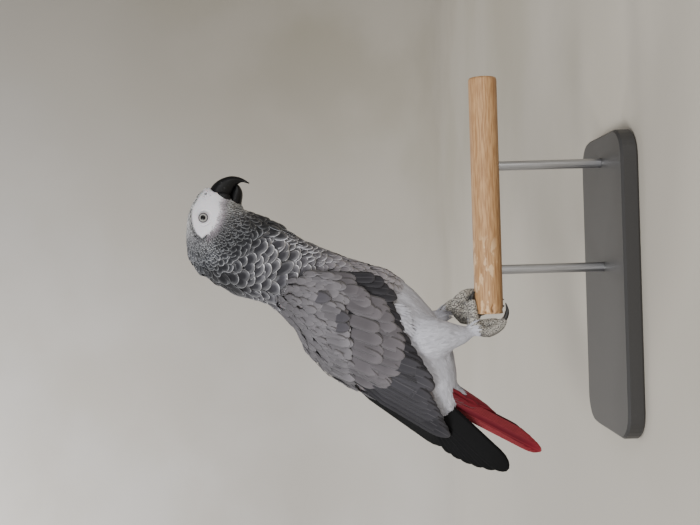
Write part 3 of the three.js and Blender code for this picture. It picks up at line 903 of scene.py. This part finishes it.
# Each coat's shape of feather, and then, as shares of the gap between roots: how close the roots
# are lengthwise, and a feather's length and half width.
for name, shape, squash, long, wide in (
    ("coat_head", SMALL, 0.55, 2.05, 0.66),
    ("coat_body", MEDIUM, 0.36, 1.75, 0.74),
):
    roots, part, gap, heading = scatter(
        lambda at, normal, part: (part <= 2) & firm(at)
        & ((body_gap(at, normal, part) < FINE) == (shape is SMALL)), body_gap, body_flow, squash)
    reach, turn, _ = along_body(roots)
    count = len(roots)
    beside = -inside_face(roots)
    below = (1 - smooth_step(2 * MM, 9 * MM, beside)) * (roots[:, 2] < 347 * MM)
    top = smooth_step(0.3, 0.8, np.cos(turn))
    under = smooth_step(0.45, 0.75, np.abs(turn) / math.pi)
    cheek = smooth_step(3 * MM, 9 * MM, beside) * (1 - top) * (1 - smooth_step(45 * MM, 65 * MM, reach))
    forecrown = top * (1 - smooth_step(26 * MM, 50 * MM, reach))
    mantle = smooth_step(85 * MM, 120 * MM, reach) * top
    nape = between(reach, 14, 30, 55, 80) * smooth_step(0.6, 0.9, np.cos(turn))
    fluff = downy(reach, turn)
    heading = strayed(heading, 0.08)
    length = gap * long * chance(0.12, count) * (1 + 0.5 * below)
    line, up = walk(roots, heading, length, shape.shares)
    stand = LIE + 0.08 * dice.random(count) * (1 - fluff) + 0.08 * nape * dice.random(count)
    rise = stand[:, None] * shape.shares[None] ** 1.3
    half = gap * wide * chance(0.1, count) * (1 - 0.5 * below)
    crown = 1.3 * MM * top * (1 - smooth_step(24 * MM, 40 * MM, reach)) * smooth_step(0, 3 * MM, beside)
    rise = length[:, None] * rise + crown[:, None] - 0.15 * MM
    roll = 0.06 * dice.normal(size=count) * (1 - fluff) + 0.15 * forward(roots) * np.sign(roots[:, 1])
    points = vanes(shape, line, up, half, rise, 0.07, roll)
    tone = chance(0.1, count, 1).clip(0.7, 1.4)
    breast = under * between(reach, 92, 125, 150, 190)
    dark = blend(reach / MM, DOWN, GREYS) * tone
    dark *= (1 - 0.55 * cheek - 0.7 * nape + 1.9 * breast + 2.1 * forecrown)[:, None]
    pale = blend(reach / MM, DOWN, PALES) * tone**0.5
    hair = blend(beside / MM, (-1, 2, 5, 9), [shade(182, 176, 183), shade(140, 131, 139),
                                             shade(104, 98, 104), shade(74, 72, 76)])
    rim_start = np.interp(gap / MM, (1.2, 2.5, 4, 9), (0.55, 0.72, 0.82, 0.88))
    rim_start += 0.02 * dice.normal(size=count)
    rim_share = 0.95 - 0.55 * cheek - 0.6 * nape + 0.2 * forecrown - 0.5 * mantle - 0.2 * breast
    rim_share -= 0.75 * np.maximum(below, fluff)
    coat = Coat(name)
    coat.add(shape, points, unwrap(roots), rgba(over(dark, hair, below), rim_start),
             rgba(pale, rim_share.clip(0.08, 1)))
    coat.show(plumage)

# ---- Down of the belly and thighs ----
# Long fine plumes, pale and soft, that hide where one feather ends: over the belly, the vent and
# the thighs down to the ankles. They start under the last firm feathers.
LEG_DOWN = {"thigh_right": (0.06, 0, -1), "thigh_left": (0.45, 0, -1)}
PLUME = Shape((0, 0.3, 0.65, 1.0), 0.4, 0.5, root=0.5, tip=0.15, columns=2)
PLUME_GAP, PLUME_LENGTH, PLUME_HALF = 2.0 * MM, 8 * MM, 0.85 * MM
PLUME_GREY = shade(184, 184, 192)
DOWN_START = 0.35  # how downy the first plumes are, under the last firm feathers

trunk = FLESH_NAMES.index("trunk")
thighs = {FLESH_NAMES.index(name): way for name, way in LEG_DOWN.items()}


def plume_flow(at, part):
    flow = body_flow(at)
    for number, way in thighs.items():
        flow[part == number] = way
    return unit(flow)


for name, wanted in (
    ("coat_belly", lambda at, normal, part: (part == trunk)
     & (downy(*along_body(at)[:2]) > DOWN_START)),
    ("coat_thighs", lambda at, normal, part: np.isin(part, list(thighs))),
):
    roots, part, gap, heading = scatter(
        wanted, lambda at, normal, part: np.full(len(at), PLUME_GAP), plume_flow, 0.5)
    count = len(roots)
    heading = strayed(heading, 0.16)
    length = PLUME_LENGTH * chance(0.2, count)
    line, up = walk(roots, heading, length, PLUME.shares)
    rise = (0.01 + 0.02 * dice.random((count, 1))) * PLUME.shares[None] ** 1.5
    half = PLUME_HALF * (1 + 0.3 * dice.random(count))
    points = vanes(PLUME, line, up, half, length[:, None] * rise + 0.2 * MM, 0.02)
    tone = chance(0.1, count, 1).clip(0.7, 1.2)
    coat = Coat(name)
    coat.add(PLUME, points, unwrap(roots, 1), rgba(PLUME_GREY, 0.9, tone), rgba(PLUME_GREY, 0.02, tone))
    coat.show(plumage, smooth=False)

# ---- Wing coverts ----
# The folded wing's short feathers overlap like tiles: small lesser coverts over the shoulder, then
# the median and the long greater coverts over the roots of the secondaries, and the scapulars of
# the back over the wing's upper edge.
LARGE_SHARES = (0, 0.08, 0.18, 0.3, 0.42, 0.54, 0.66, 0.76, 0.84, 0.9, 0.95, 0.98, 1.0)
COVERT_SHAPE = Shape(LARGE_SHARES, 0.3, 0.76, 0.4, columns=6)
QUILLED = Shape(LARGE_SHARES, 0.3, 0.84, 0.4, columns=6)
SLATE = shade(47, 46, 50)
SLATE_INNER = shade(68, 67, 72)
SLATE_EDGE = shade(118, 116, 120)
COVERT = shade(112, 109, 113)
COVERT_LOW = shade(101, 97, 101)
COVERT_EDGE = shade(154, 151, 155)
MANTLE = shade(70, 68, 72)
SCAPULARS_START = 94 * MM
SCAPULAR_GAP = 6.8 * MM
LESSER_LIFT = 2.3 * MM  # of the lesser coverts off the skin
# Each row's tips in side view, x and z in mm from the front, its number of feathers, then at both
# ends their lengths, widths and slopes, how far root and tip stand off the wing, and one colour or
# one for each end.
COVERT_ROWS = (
    ([(9, 200), (-7.5, 193), (-22, 186), (-39, 188), (-51, 198), (-59, 200)], 14,
     (36, 40), (11, 12), (76, 60), (-0.2, 0.5), (COVERT_LOW,)),
    ([(29, 226), (16, 216), (0, 207), (-34, 206), (-58, 210)], 15,
     (28, 34), (10, 12), (84, 60), (0.1, 0.8), (COVERT_LOW,)),
    ([(31, 242), (4, 233), (-26, 230), (-52, 230)], 14,
     (24, 26), (10, 11), (86, 62), (0.4, 1.0), (COVERT,)),
)
STRAY = shade(70, 68, 73)
STRAY_COVERTS = ([(15, 246), (-0.5, 231), (-8.5, 231)], 3, (17, 17), (11, 11), (78, 76), (-0.2, 2.3),
                 (STRAY,))


def sloping(degrees):
    """Headings back and down, so many degrees below level."""
    slope = np.radians(degrees)
    return np.stack([-np.cos(slope), np.zeros(len(slope)), -np.sin(slope)], 1)


def wing_flow(at, part):
    """The way the wing's small feathers point, from how far along the wing they are."""
    return sloping(np.interp(at[:, 0] / MM, (-75, -20, 36), (57, 70, 80)))


def surface_of(*names):
    form = form_of(*names)
    tree = BVHTree.FromBMesh(form)
    form.free()
    return tree


def wing_lines(tree, x, z, sign):
    """Smooth middle lines over the outside of a wing, from their places in side view, and which
    way is up off them. Past the wing's edge they keep level with it."""
    y = np.zeros_like(x)
    up = np.zeros((*x.shape, 3))
    inward = Vector((0, -sign, 0))
    for i in range(len(x)):
        met = [tree.ray_cast(Vector((a, sign * 0.1, b)), inward) for a, b in zip(x[i], z[i])]
        near = [tree.find_nearest(Vector((a, sign * 0.035, b))) for a, b in zip(x[i], z[i])]
        beside = [(m if m[0] else n)[0].y for m, n in zip(met, near)]
        y[i] = np.polyval(np.polyfit(range(len(met)), beside, 2), range(len(met)))
        up[i] = sum((m[1] for m in met if m[0]), -inward * 2).normalized()
    return np.stack([x, y, z], 2), up


def feather_row(coat, tree, sign, shape, edge, row, rim_share=0.5, ragged=1.0):
    """Long feathers side by side along a row, each over the next one towards the back."""
    tips, count, length, width, slope, lift, tones = row
    share = np.linspace(0, 1, count)
    ends = through(tips, 60)[np.rint(share * 59).astype(int)] * MM
    ends = ends + ragged * MM * dice.normal(size=ends.shape)
    long, wide, angle = (a + (b - a) * share for a, b in (length, width, slope))
    long = long * MM * chance(0.05, count)
    heading = sloping(angle + 2 * dice.normal(size=count))
    back = heading[:, None] * (long[:, None] * (1 - shape.shares[None]))[..., None]
    line, up = wing_lines(tree, ends[:, :1] - back[..., 0], ends[:, 1:] - back[..., 2], sign)
    sunk = 2 * (1 - smooth_step(0, 0.3, shape.shares))
    rise = (lift[0] + (lift[1] - lift[0]) * shape.shares - sunk) * MM
    points = vanes(shape, line, up, wide / 2 * MM, np.tile(rise, (count, 1)), 0.06, sign * 0.05)
    tone = chance(0.07, count, 1).clip(0.7, 1.3)
    tint = over(np.array(tones[0]), tones[-1], share)
    coat.add(shape, points, unwrap(line[:, 0], 2), rgba(tint, 0.92, tone), rgba(edge, rim_share, tone))


for side, sign in SIDES.items():
    number = FLESH_NAMES.index("wing_" + side)
    wing = surface_of("wing_" + side)
    coat = Coat("coat_wing_" + side)
    roots, part, gap, heading = scatter(
        lambda at, normal, part: (part == number) & (normal[:, 1] * sign > -0.25)
        & (at[:, 2] > (242 + 0.12 * (at[:, 0] / MM)) * MM),
        lambda at, normal, part: np.interp(at[:, 2] / MM, (240, 290), (6.5, 4.4)) * MM, wing_flow)
    heading = strayed(heading, 0.09)
    length = gap * 2.1
    line, up = walk(roots, heading, length, MEDIUM.shares)
    rise = (0.01 + 0.03 * dice.random((len(roots), 1))) * MEDIUM.shares[None] ** 1.2
    tone = chance(0.05, len(roots), 1).clip(0.7, 1.3)
    # Painted shade under the scapulars: the lesser coverts darken towards the scapulars' lower edge, which
    # overhangs them.
    below = np.interp(roots[:, 0] / MM, *SCAPULAR_EDGE) * MM - roots[:, 2]
    tone *= 0.56 + 0.44 * smooth_step(2, 36, below / MM)[:, None]
    points = vanes(MEDIUM, line, up, gap * 0.72, length[:, None] * rise + LESSER_LIFT, 0.04,
                   0.03 * dice.normal(size=len(roots)))
    coat.add(MEDIUM, points, unwrap(roots, 2), rgba(COVERT, 0.86, tone), rgba(COVERT_EDGE, 0.35, tone))
    for row in COVERT_ROWS:
        feather_row(coat, wing, sign, COVERT_SHAPE, COVERT_EDGE, row)
    feather_row(coat, wing, sign, MEDIUM, COVERT_EDGE, STRAY_COVERTS, 0.2, 0)
    roots, part, gap, heading = scatter(
        lambda at, normal, part: np.isin(part, [1, 2, number]) & (at[:, 1] * sign > 0)
        & under_scapulars(at, SCAPULARS_START),
        lambda at, normal, part: np.full(len(at), SCAPULAR_GAP), body_flow)
    length = np.interp(roots[:, 0] / MM, (-60, -20), (19, 28)) * MM * chance(0.12, len(roots))
    line, up = walk(roots, strayed(heading, 0.06), length, COVERT_SHAPE.shares, 0.03)
    rise = (0.5 + 1.3 * COVERT_SHAPE.shares[None]) * MM * (0.8 + 0.4 * dice.random((len(roots), 1)))
    points = vanes(COVERT_SHAPE, line, up, gap * 0.7, rise, 0.04, 0.03 * dice.normal(size=len(roots)))
    tone = chance(0.07, len(roots), 1).clip(0.7, 1.3)
    coat.add(COVERT_SHAPE, points, unwrap(roots, 2), rgba(MANTLE, 0.9, tone), rgba(COVERT_EDGE, 0.3, tone))
    coat.show(plumage)

# ---- Flight feathers ----
# The stiff secondaries and the long inner feathers that cover the folded hand, slate grey with
# paler quills, and a darker group at the wing's lower front corner.
FLIGHT_ROWS = (
    ([(12, 195), (-17, 183.5), (-48, 168.5), (-60, 162.5)], 11, (50, 80), (13, 14), (70, 60),
     (-0.9, -0.4), (SLATE,)),
    ([(-47, 172), (-58, 162.5), (-71, 166)], 4, (74, 80), (14, 14), (66, 60), (-0.4, 0.1),
     (SLATE_INNER,)),
    ([(-72, 166), (-90, 156), (-105, 149.5)], 7, (80, 88), (14, 14), (59, 55.5), (0.0, 0.7),
     (SLATE_INNER, SLATE)),
    ([(30, 209), (24, 200), (14, 192)], 4, (30, 44), (11, 13), (88, 72), (-0.6, 0.2),
     (SLATE,)),
)
STIFF_VANE = {"quill_share": 0.3, "barb_rate": 300, "sheen": 0.02}
flight_horn = plumage_finish("flight_plumage", **STIFF_VANE)
for side, sign in SIDES.items():
    wing = surface_of("wing_" + side)
    coat = Coat("flight_" + side)
    for row in FLIGHT_ROWS:
        feather_row(coat, wing, sign, QUILLED, SLATE_EDGE, row, 0.45, 0.6)
    coat.show(flight_horn)

# ---- Under-tail coverts ----
# Soft red feathers from the vent back under the root of the tail. They lie over its root in three
# short rows a side, the longest row lowest.
# The coverts' own red, darkened by painted shade as they lie under the tail.
SHADED_UNDER_RED = shade(100, 12, 25)
UNDER_EDGE = shade(150, 44, 54)
UNDERTAIL_ROWS = (
    ([(-93, 108.5), (-88, 110.5)], 3, (46, 46), (8, 8), (62, 65), (-0.7, 0.0), (SHADED_UNDER_RED,)),
    ([(-85, 121), (-80, 122.5)], 3, (34, 34), (8, 8), (62, 66), (-0.4, 0.3), (SHADED_UNDER_RED,)),
    ([(-78, 134), (-71, 137)], 3, (22, 22), (8, 8), (62, 68), (-0.2, 0.6), (SHADED_UNDER_RED,)),
)
coat = Coat("coat_undertail")
undertail = surface_of("undertail")
for sign in SIDES.values():
    for row in UNDERTAIL_ROWS:
        feather_row(coat, undertail, sign, COVERT_SHAPE, UNDER_EDGE, row, 0.35)
coat.show(plumage)

# ---- Flank down ----
# A tuft of the flank's pale down that lies out over the wing's lower edge, in two dense rows of
# the belly's plumes.
FLANK_ROWS = (
    ([(3, 182), (-17, 179)], 55, (17, 14), (1.5, 1.5), (76, 48), (-0.4, 0.8), (PLUME_GREY,)),
    ([(6, 185), (-15, 182)], 55, (15, 12), (1.5, 1.5), (80, 52), (0.0, 1.2), (PLUME_GREY,)),
)
coat = Coat("coat_flank")
for side, sign in SIDES.items():
    flank = surface_of("wing_" + side, "trunk")
    for row in FLANK_ROWS:
        feather_row(coat, flank, sign, PLUME, PLUME_GREY, row, 0.1, 1.6)
coat.show(plumage, smooth=False)

# ---- Primaries ----
# The longest feathers of the hands, black, held together past the wing's tip like a half shut fan.
# They are stiff and straight, each outer one longer and lying over the one before it.
PRIMARY_HALF = 8.6 * MM
PRIMARY_PLACE, PRIMARY_STEP = 1.6, 1.12  # mm from the middle to the first, and on to each next one
PRIMARIES = {  # mm and degrees: where the first is rooted, how long and steep it is, and the last
    "right": {"count": 6, "x": -66, "z": 171, "length": 61, "longer": 37, "fold": 27, "fan": 18.5},
    "left": {"count": 5, "x": -47, "z": 237, "length": 110, "longer": 8, "fold": 53, "fan": 5},
}
for side, sign in SIDES.items():
    hand = PRIMARIES[side]
    count = hand["count"]
    outward = np.linspace(0, 1, count)
    heading = sloping(hand["fold"] + hand["fan"] * outward)
    long = (hand["length"] + hand["longer"] * outward) * MM
    root = np.stack([np.full(count, hand["x"]), sign * (PRIMARY_PLACE + PRIMARY_STEP * np.arange(count)),
                     np.full(count, hand["z"])], 1) * MM
    line = root[:, None] + heading[:, None] * (long[:, None] * QUILLED.shares[None])[..., None]
    up = np.broadcast_to([0, sign, 0], line.shape)
    points = vanes(QUILLED, line, up, np.full(count, PRIMARY_HALF), np.zeros(line.shape[:2]), 0.06, 0.03)
    coat = Coat("primaries_" + side + "_vanes")
    black = np.array(shade(2, 2, 3)) * chance(0.1, count, 1)
    coat.add(QUILLED, points, unwrap(root, 3), rgba(black, 0.94), rgba(black * 1.6, 0.3))
    coat.show(flight_horn, ["primaries_" + side])

# ---- Tail ----
# Twelve red feathers, folded into a narrow roof. The middle pair lies on top, and each pair outside
# it is tucked under it, so that only a strip of it shows.
# The middle pair in mm and degrees, and how each pair outside it differs.
TAIL = {"x": -71, "z": 162, "slope": 61, "length": 103, "width": 15.5, "pairs": 6,
        "outward": 1, "turn": 0.8, "tilt": 40}
TAIL_STEP = {"shorter": 0.7, "lower": 0.95, "outward": 0.12, "turn": 0.35, "tilt": 1.5}
TAIL_RED = np.array(RED) * (0.78, 0.7, 0.85)
TAIL_EDGE = shade(196, 84, 86)

TAIL_SHAPE = Shape(LARGE_SHARES, 0.12, 0.86, 0.6, columns=6)
coat = Coat("tail_vanes")
slope = math.radians(TAIL["slope"])
tail_way = Vector((-math.cos(slope), 0, -math.sin(slope)))
tail_under = Vector((math.sin(slope), 0, -math.cos(slope)))
for pair in reversed(range(TAIL["pairs"])):
    for sign in SIDES.values():
        outward, turned, tilt = (TAIL[k] + TAIL_STEP[k] * pair for k in ("outward", "turn", "tilt"))
        turned, tilt = math.radians(turned), math.radians(tilt)
        side_way = Vector((0, sign, 0))
        start = Vector((TAIL["x"], 0, TAIL["z"])) + tail_under * TAIL_STEP["lower"] * pair
        start += side_way * outward
        way = tail_way * math.cos(turned) + side_way * math.sin(turned)
        up_way = -tail_under * math.cos(tilt) + side_way * math.sin(tilt)
        long = TAIL["length"] - TAIL_STEP["shorter"] * pair**2
        line = np.array([[start + way * long * share for share in TAIL_SHAPE.shares]]) * MM
        up = np.broadcast_to(np.array(up_way), line.shape)
        half = np.array([TAIL["width"] / 2 * MM])
        points = vanes(TAIL_SHAPE, line, up, half, np.zeros(line.shape[:2]), 0.07)
        coat.add(TAIL_SHAPE, points, unwrap(line[:, 0], 4), rgba(TAIL_RED, 0.9, chance(0.08)),
                 rgba(TAIL_EDGE, 0.55))
coat.show(plumage_finish("tail_plumage", **STIFF_VANE), ["tail"])

# ---- Scales of the feet ----
# Small pale plates of horn over the shanks and toes, with dark skin between them. Each is a low
# closed dome that leans a little over the next one.
PLATE = Shape((0, 0.25, 0.6, 0.85, 1.0), 0.3, 0.5, root=0.5, tip=0.4, columns=2)
PLATE_GAP = 1.15 * MM
PLATE_WAY = (0.25, 0, -0.97)  # down the shank and forward over the toes
PLATE_GREY = shade(190, 186, 176)

scale_finish = Finish("foot_scales", Roughness=0.5)
scale_grain = scale_finish.noise(2200.0, 2.0)
scale_finish.feed(Base_Color=scale_finish.mix(scale_grain * 0.3, scale_finish.attribute("tint"),
                                              shade(90, 86, 82)),
                  Normal=scale_finish.bump(scale_grain, 0.05 * MM, 0.5))
feet = [FLESH_NAMES.index("foot_" + side) for side in SIDES]
roots, part, gap, heading = scatter(
    lambda at, normal, part: np.isin(part, feet),
    lambda at, normal, part: PLATE_GAP * (0.85 + 0.3 * smooth_step(0.11, 0.13, at[:, 2])),
    lambda at, part: np.tile(PLATE_WAY, (len(at), 1)), 0.95)
length = gap * 1.2
line, up = walk(roots, strayed(heading, 0.2), length, PLATE.shares)
rise = (length * 0.02)[:, None] * np.ones_like(PLATE.shares)[None]
points = vanes(PLATE, line, up, gap * 0.58, rise, 0.2)
tone = chance(0.22, len(roots), 1).clip(0.3, 1.4)
# Painted shade: plates that face towards the tail, on the foot's shadowed back, are darker.
tone *= 0.45 + 0.55 * smooth_step(-0.8, 0.3, up[:, :1, 0])
coat = Coat("foot_scales")
coat.add(PLATE, points, unwrap(roots, 1), rgba(PLATE_GREY, 1, tone), rgba(PLATE_GREY, 1, tone))
coat.show(scale_finish)

# ---- Claws ----
# Eight curved claws of black horn, worn a little at the tips. Each grows out of the end of its toe
# and is rounded off from the toe's plain claw.
claw_finish = Finish("claw_horn", Coat_Weight=0.2)
claw_worn = claw_finish.noise(500.0, 3.0)
claw_colour = claw_finish.mix(claw_worn.between(0.45, 0.8), shade(24, 23, 23), shade(70, 66, 62))
claw_finish.feed(Base_Color=claw_colour, Roughness=claw_worn * 0.3 + 0.3,
                 Normal=claw_finish.bump(claw_worn, 0.15 * MM, 0.4))
for side in SIDES:
    for number in range(1, 5):
        node = f"claw_{side}_{number}"
        form = form_of(node)
        bmesh.ops.remove_doubles(form, verts=form.verts, dist=1e-6)
        mesh = modified(made(form), "SUBSURF", levels=2, render_levels=2)
        claw_finish.on(piece(node + "_horn", mesh, [node]))

# ---- Perch ----
# A turned wooden dowel. The bird has gnawed its end to splinters and cracked it, and has peeled
# pale chips off its upper side.
PERCH_LOW, PERCH_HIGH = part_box("perch")
PERCH_RADIUS = (PERCH_HIGH.y - PERCH_LOW.y) / 2
PERCH_AXIS = (PERCH_LOW.z + PERCH_HIGH.z) / 2
BITTEN = 8  # mm of the end
CRACKS = ((-1.72, 9, 2.0), (-1.05, 5, 1.2), (1.4, 7, 1.6), (2.6, 6, 1.4))  # turn, mm long, mm deep


def perch_place(turn, share):
    x = PERCH_LOW.x + (PERCH_HIGH.x - PERCH_LOW.x) * share**1.5
    past = (x - PERCH_LOW.x) / MM
    bite = 0.5 + 0.5 * np.sin(turn * 3 + 1.3) * np.sin(turn * 7 + x * 900)
    cut = np.clip(1 - past / BITTEN, 0, 1) ** 1.6 * (0.3 + 1.5 * bite)
    for at_turn, long, deep in CRACKS:
        apart = (turn - at_turn + 0.04 * np.sin(past)) / 0.09
        cut += deep * np.exp(-apart**2) * np.clip(1 - past / long, 0, 1) ** 0.5
    radius = PERCH_RADIUS - cut * MM
    radius = np.where(share >= 0.999, radius - 0.8 * MM, radius)
    ragged = np.where(share <= 0.001, 0.8 * bite * MM, 0)
    return np.stack([x + ragged, radius * np.sin(turn), PERCH_AXIS + radius * np.cos(turn)], 1)


wood = Finish("dowel_wood", Roughness=0.6)
fibres = wood.noise(60.0, 4.0, wood.stretched(1.2, 14, 14))
streak = wood.noise(30.0, 3.0, wood.stretched(0.6, 9, 9))
wood_colour = wood.mix(fibres.between(0.3, 0.7), shade(150, 110, 70), shade(188, 148, 104))
wood_colour = wood.mix(streak.between(0.5, 0.8) * 0.5, wood_colour, shade(132, 88, 50))
peeled = wood.noise(170.0, 3.0, wood.stretched(0.45, 1, 1)).between(0.53, 0.6)
peeled = peeled * wood.attribute("gnawed", "Fac")
wood_colour = wood.mix(peeled * 0.6, wood_colour, shade(222, 190, 150))
# Painted shade down in the cracks.
wood_colour = wood.mix(wood.attribute("crack_shade", "Fac"), wood_colour, shade(62, 42, 28))
wood.feed(Base_Color=wood_colour, Normal=wood.bump(fibres - peeled, 0.3 * MM, 0.5))
dowel = made(wrapped(150, 170, perch_place))
at = places(dowel)
turn = np.arctan2(at[:, 1], at[:, 2] - PERCH_AXIS)
depth = PERCH_RADIUS - np.hypot(at[:, 1], at[:, 2] - PERCH_AXIS)
gnawed = (1 - smooth_step(50 * MM, 70 * MM, at[:, 0])) * smooth_step(-0.8, -0.2, np.cos(turn))
# Painted shade in the cracks: the wood darkens with the depth of the cut.
crack_shade = smooth_step(1.2, 2.4, depth / MM) * (at[:, 0] > PERCH_LOW.x + 1.2 * MM) * 0.8
mark(dowel, "gnawed", gnawed)
mark(dowel, "crack_shade", crack_shade)
wood.on(piece("perch_dowel", dowel, ["perch"]))

# ---- Stand ----
# A flat base of dark painted board and two short brushed steel rods, which stand in it and run up
# into the perch.
base_finish = Finish("base_paint", Roughness=0.45)
base_grain = base_finish.noise(1400.0, 2.0)
base_finish.feed(Base_Color=base_finish.mix(base_grain, shade(44, 43, 43), shade(56, 55, 54)),
                 Normal=base_finish.bump(base_grain, 0.1 * MM, 0.3))
base_finish.on(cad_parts["stand_base"])
steel = Finish("rod_steel", Metallic=1.0)
brushed = steel.noise(900.0, 2.0, steel.stretched(1, 1, 0.05))
steel.feed(Base_Color=steel.mix(brushed, shade(150, 150, 152), shade(190, 190, 192)),
           Roughness=brushed * 0.2 + 0.25)
steel.on(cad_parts["stand_rod_front"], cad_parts["stand_rod_rear"])

# ---- Studio ----
# A pale sweep of plastered card behind and under the model, in one bent sheet, and soft lights: the
# key from the side of the tail, a fill from the side of the bill, one from behind and one on the card.
SWEEP = {"near": -6.0, "bend": 1.5, "radius": 0.4, "half_width": 6.0, "top": 3.5}
form = bmesh.new()
bend = np.linspace(0, math.pi / 2, 14)
profile = [(SWEEP["near"], 0.0)]
profile += [(SWEEP["bend"] + SWEEP["radius"] * math.sin(a), SWEEP["radius"] * (1 - math.cos(a)))
            for a in bend]
profile += [(SWEEP["bend"] + SWEEP["radius"], SWEEP["top"])]
chain = [form.verts.new((-SWEEP["half_width"], y, z)) for y, z in profile]
lines = [form.edges.new(pair) for pair in zip(chain, chain[1:])]
swept = bmesh.ops.extrude_edge_only(form, edges=lines)["geom"]
bmesh.ops.translate(form, verts=[g for g in swept if isinstance(g, bmesh.types.BMVert)],
                    vec=(2 * SWEEP["half_width"], 0, 0))
backdrop = new_object("backdrop", made(form))
card = Finish("card", Roughness=0.9)
spot = [card.node("SeparateXYZ", None, {0: card.place()}, k) for k in range(3)]
# Painted falloff of light: the card is paler up and towards negative x, on the side of its lamp, and
# darker down and towards positive x, with a little noise.
away = (spot[0] * 0.3 - spot[2] * 0.3 + card.noise(1.2, 3.0) * 0.2).between(-0.3, 0.3)
plaster = card.noise(3.0, 6.0).between(0.35, 0.65)
wall = card.mix(away, shade(206, 202, 197), shade(168, 161, 146))
card.feed(Base_Color=card.mix(plaster * 0.5, wall, shade(190, 184, 174)))
card.on(backdrop)


def lamp(name, place, size, power, aim=(0, 0, 0.25)):
    light = bpy.data.lights.new(name, "AREA")
    light.size = size
    light.energy = power
    shown = new_object(name, light)
    turn = (Vector(aim) - Vector(place)).to_track_quat("-Z", "Y").to_matrix().to_4x4()
    shown.matrix_world = Matrix.Translation(place) @ turn


lamp("key", (-0.5, -1.2, 0.9), 0.6, 22)
lamp("fill", (0.9, -1.0, 0.4), 0.9, 8)
lamp("far_side", (-0.1, 1.1, 1.4), 0.9, 7)
lamp("backdrop_light", (-1.0, 0.9, 1.7), 0.8, 22, (-0.2, 1.9, 0.6))
world = bpy.data.worlds.new("studio")
bpy.context.scene.world = world
world.use_nodes = True
world.node_tree.nodes["Background"].inputs["Color"].default_value = (0.8, 0.8, 0.8, 1)
world.node_tree.nodes["Background"].inputs["Strength"].default_value = 0.4
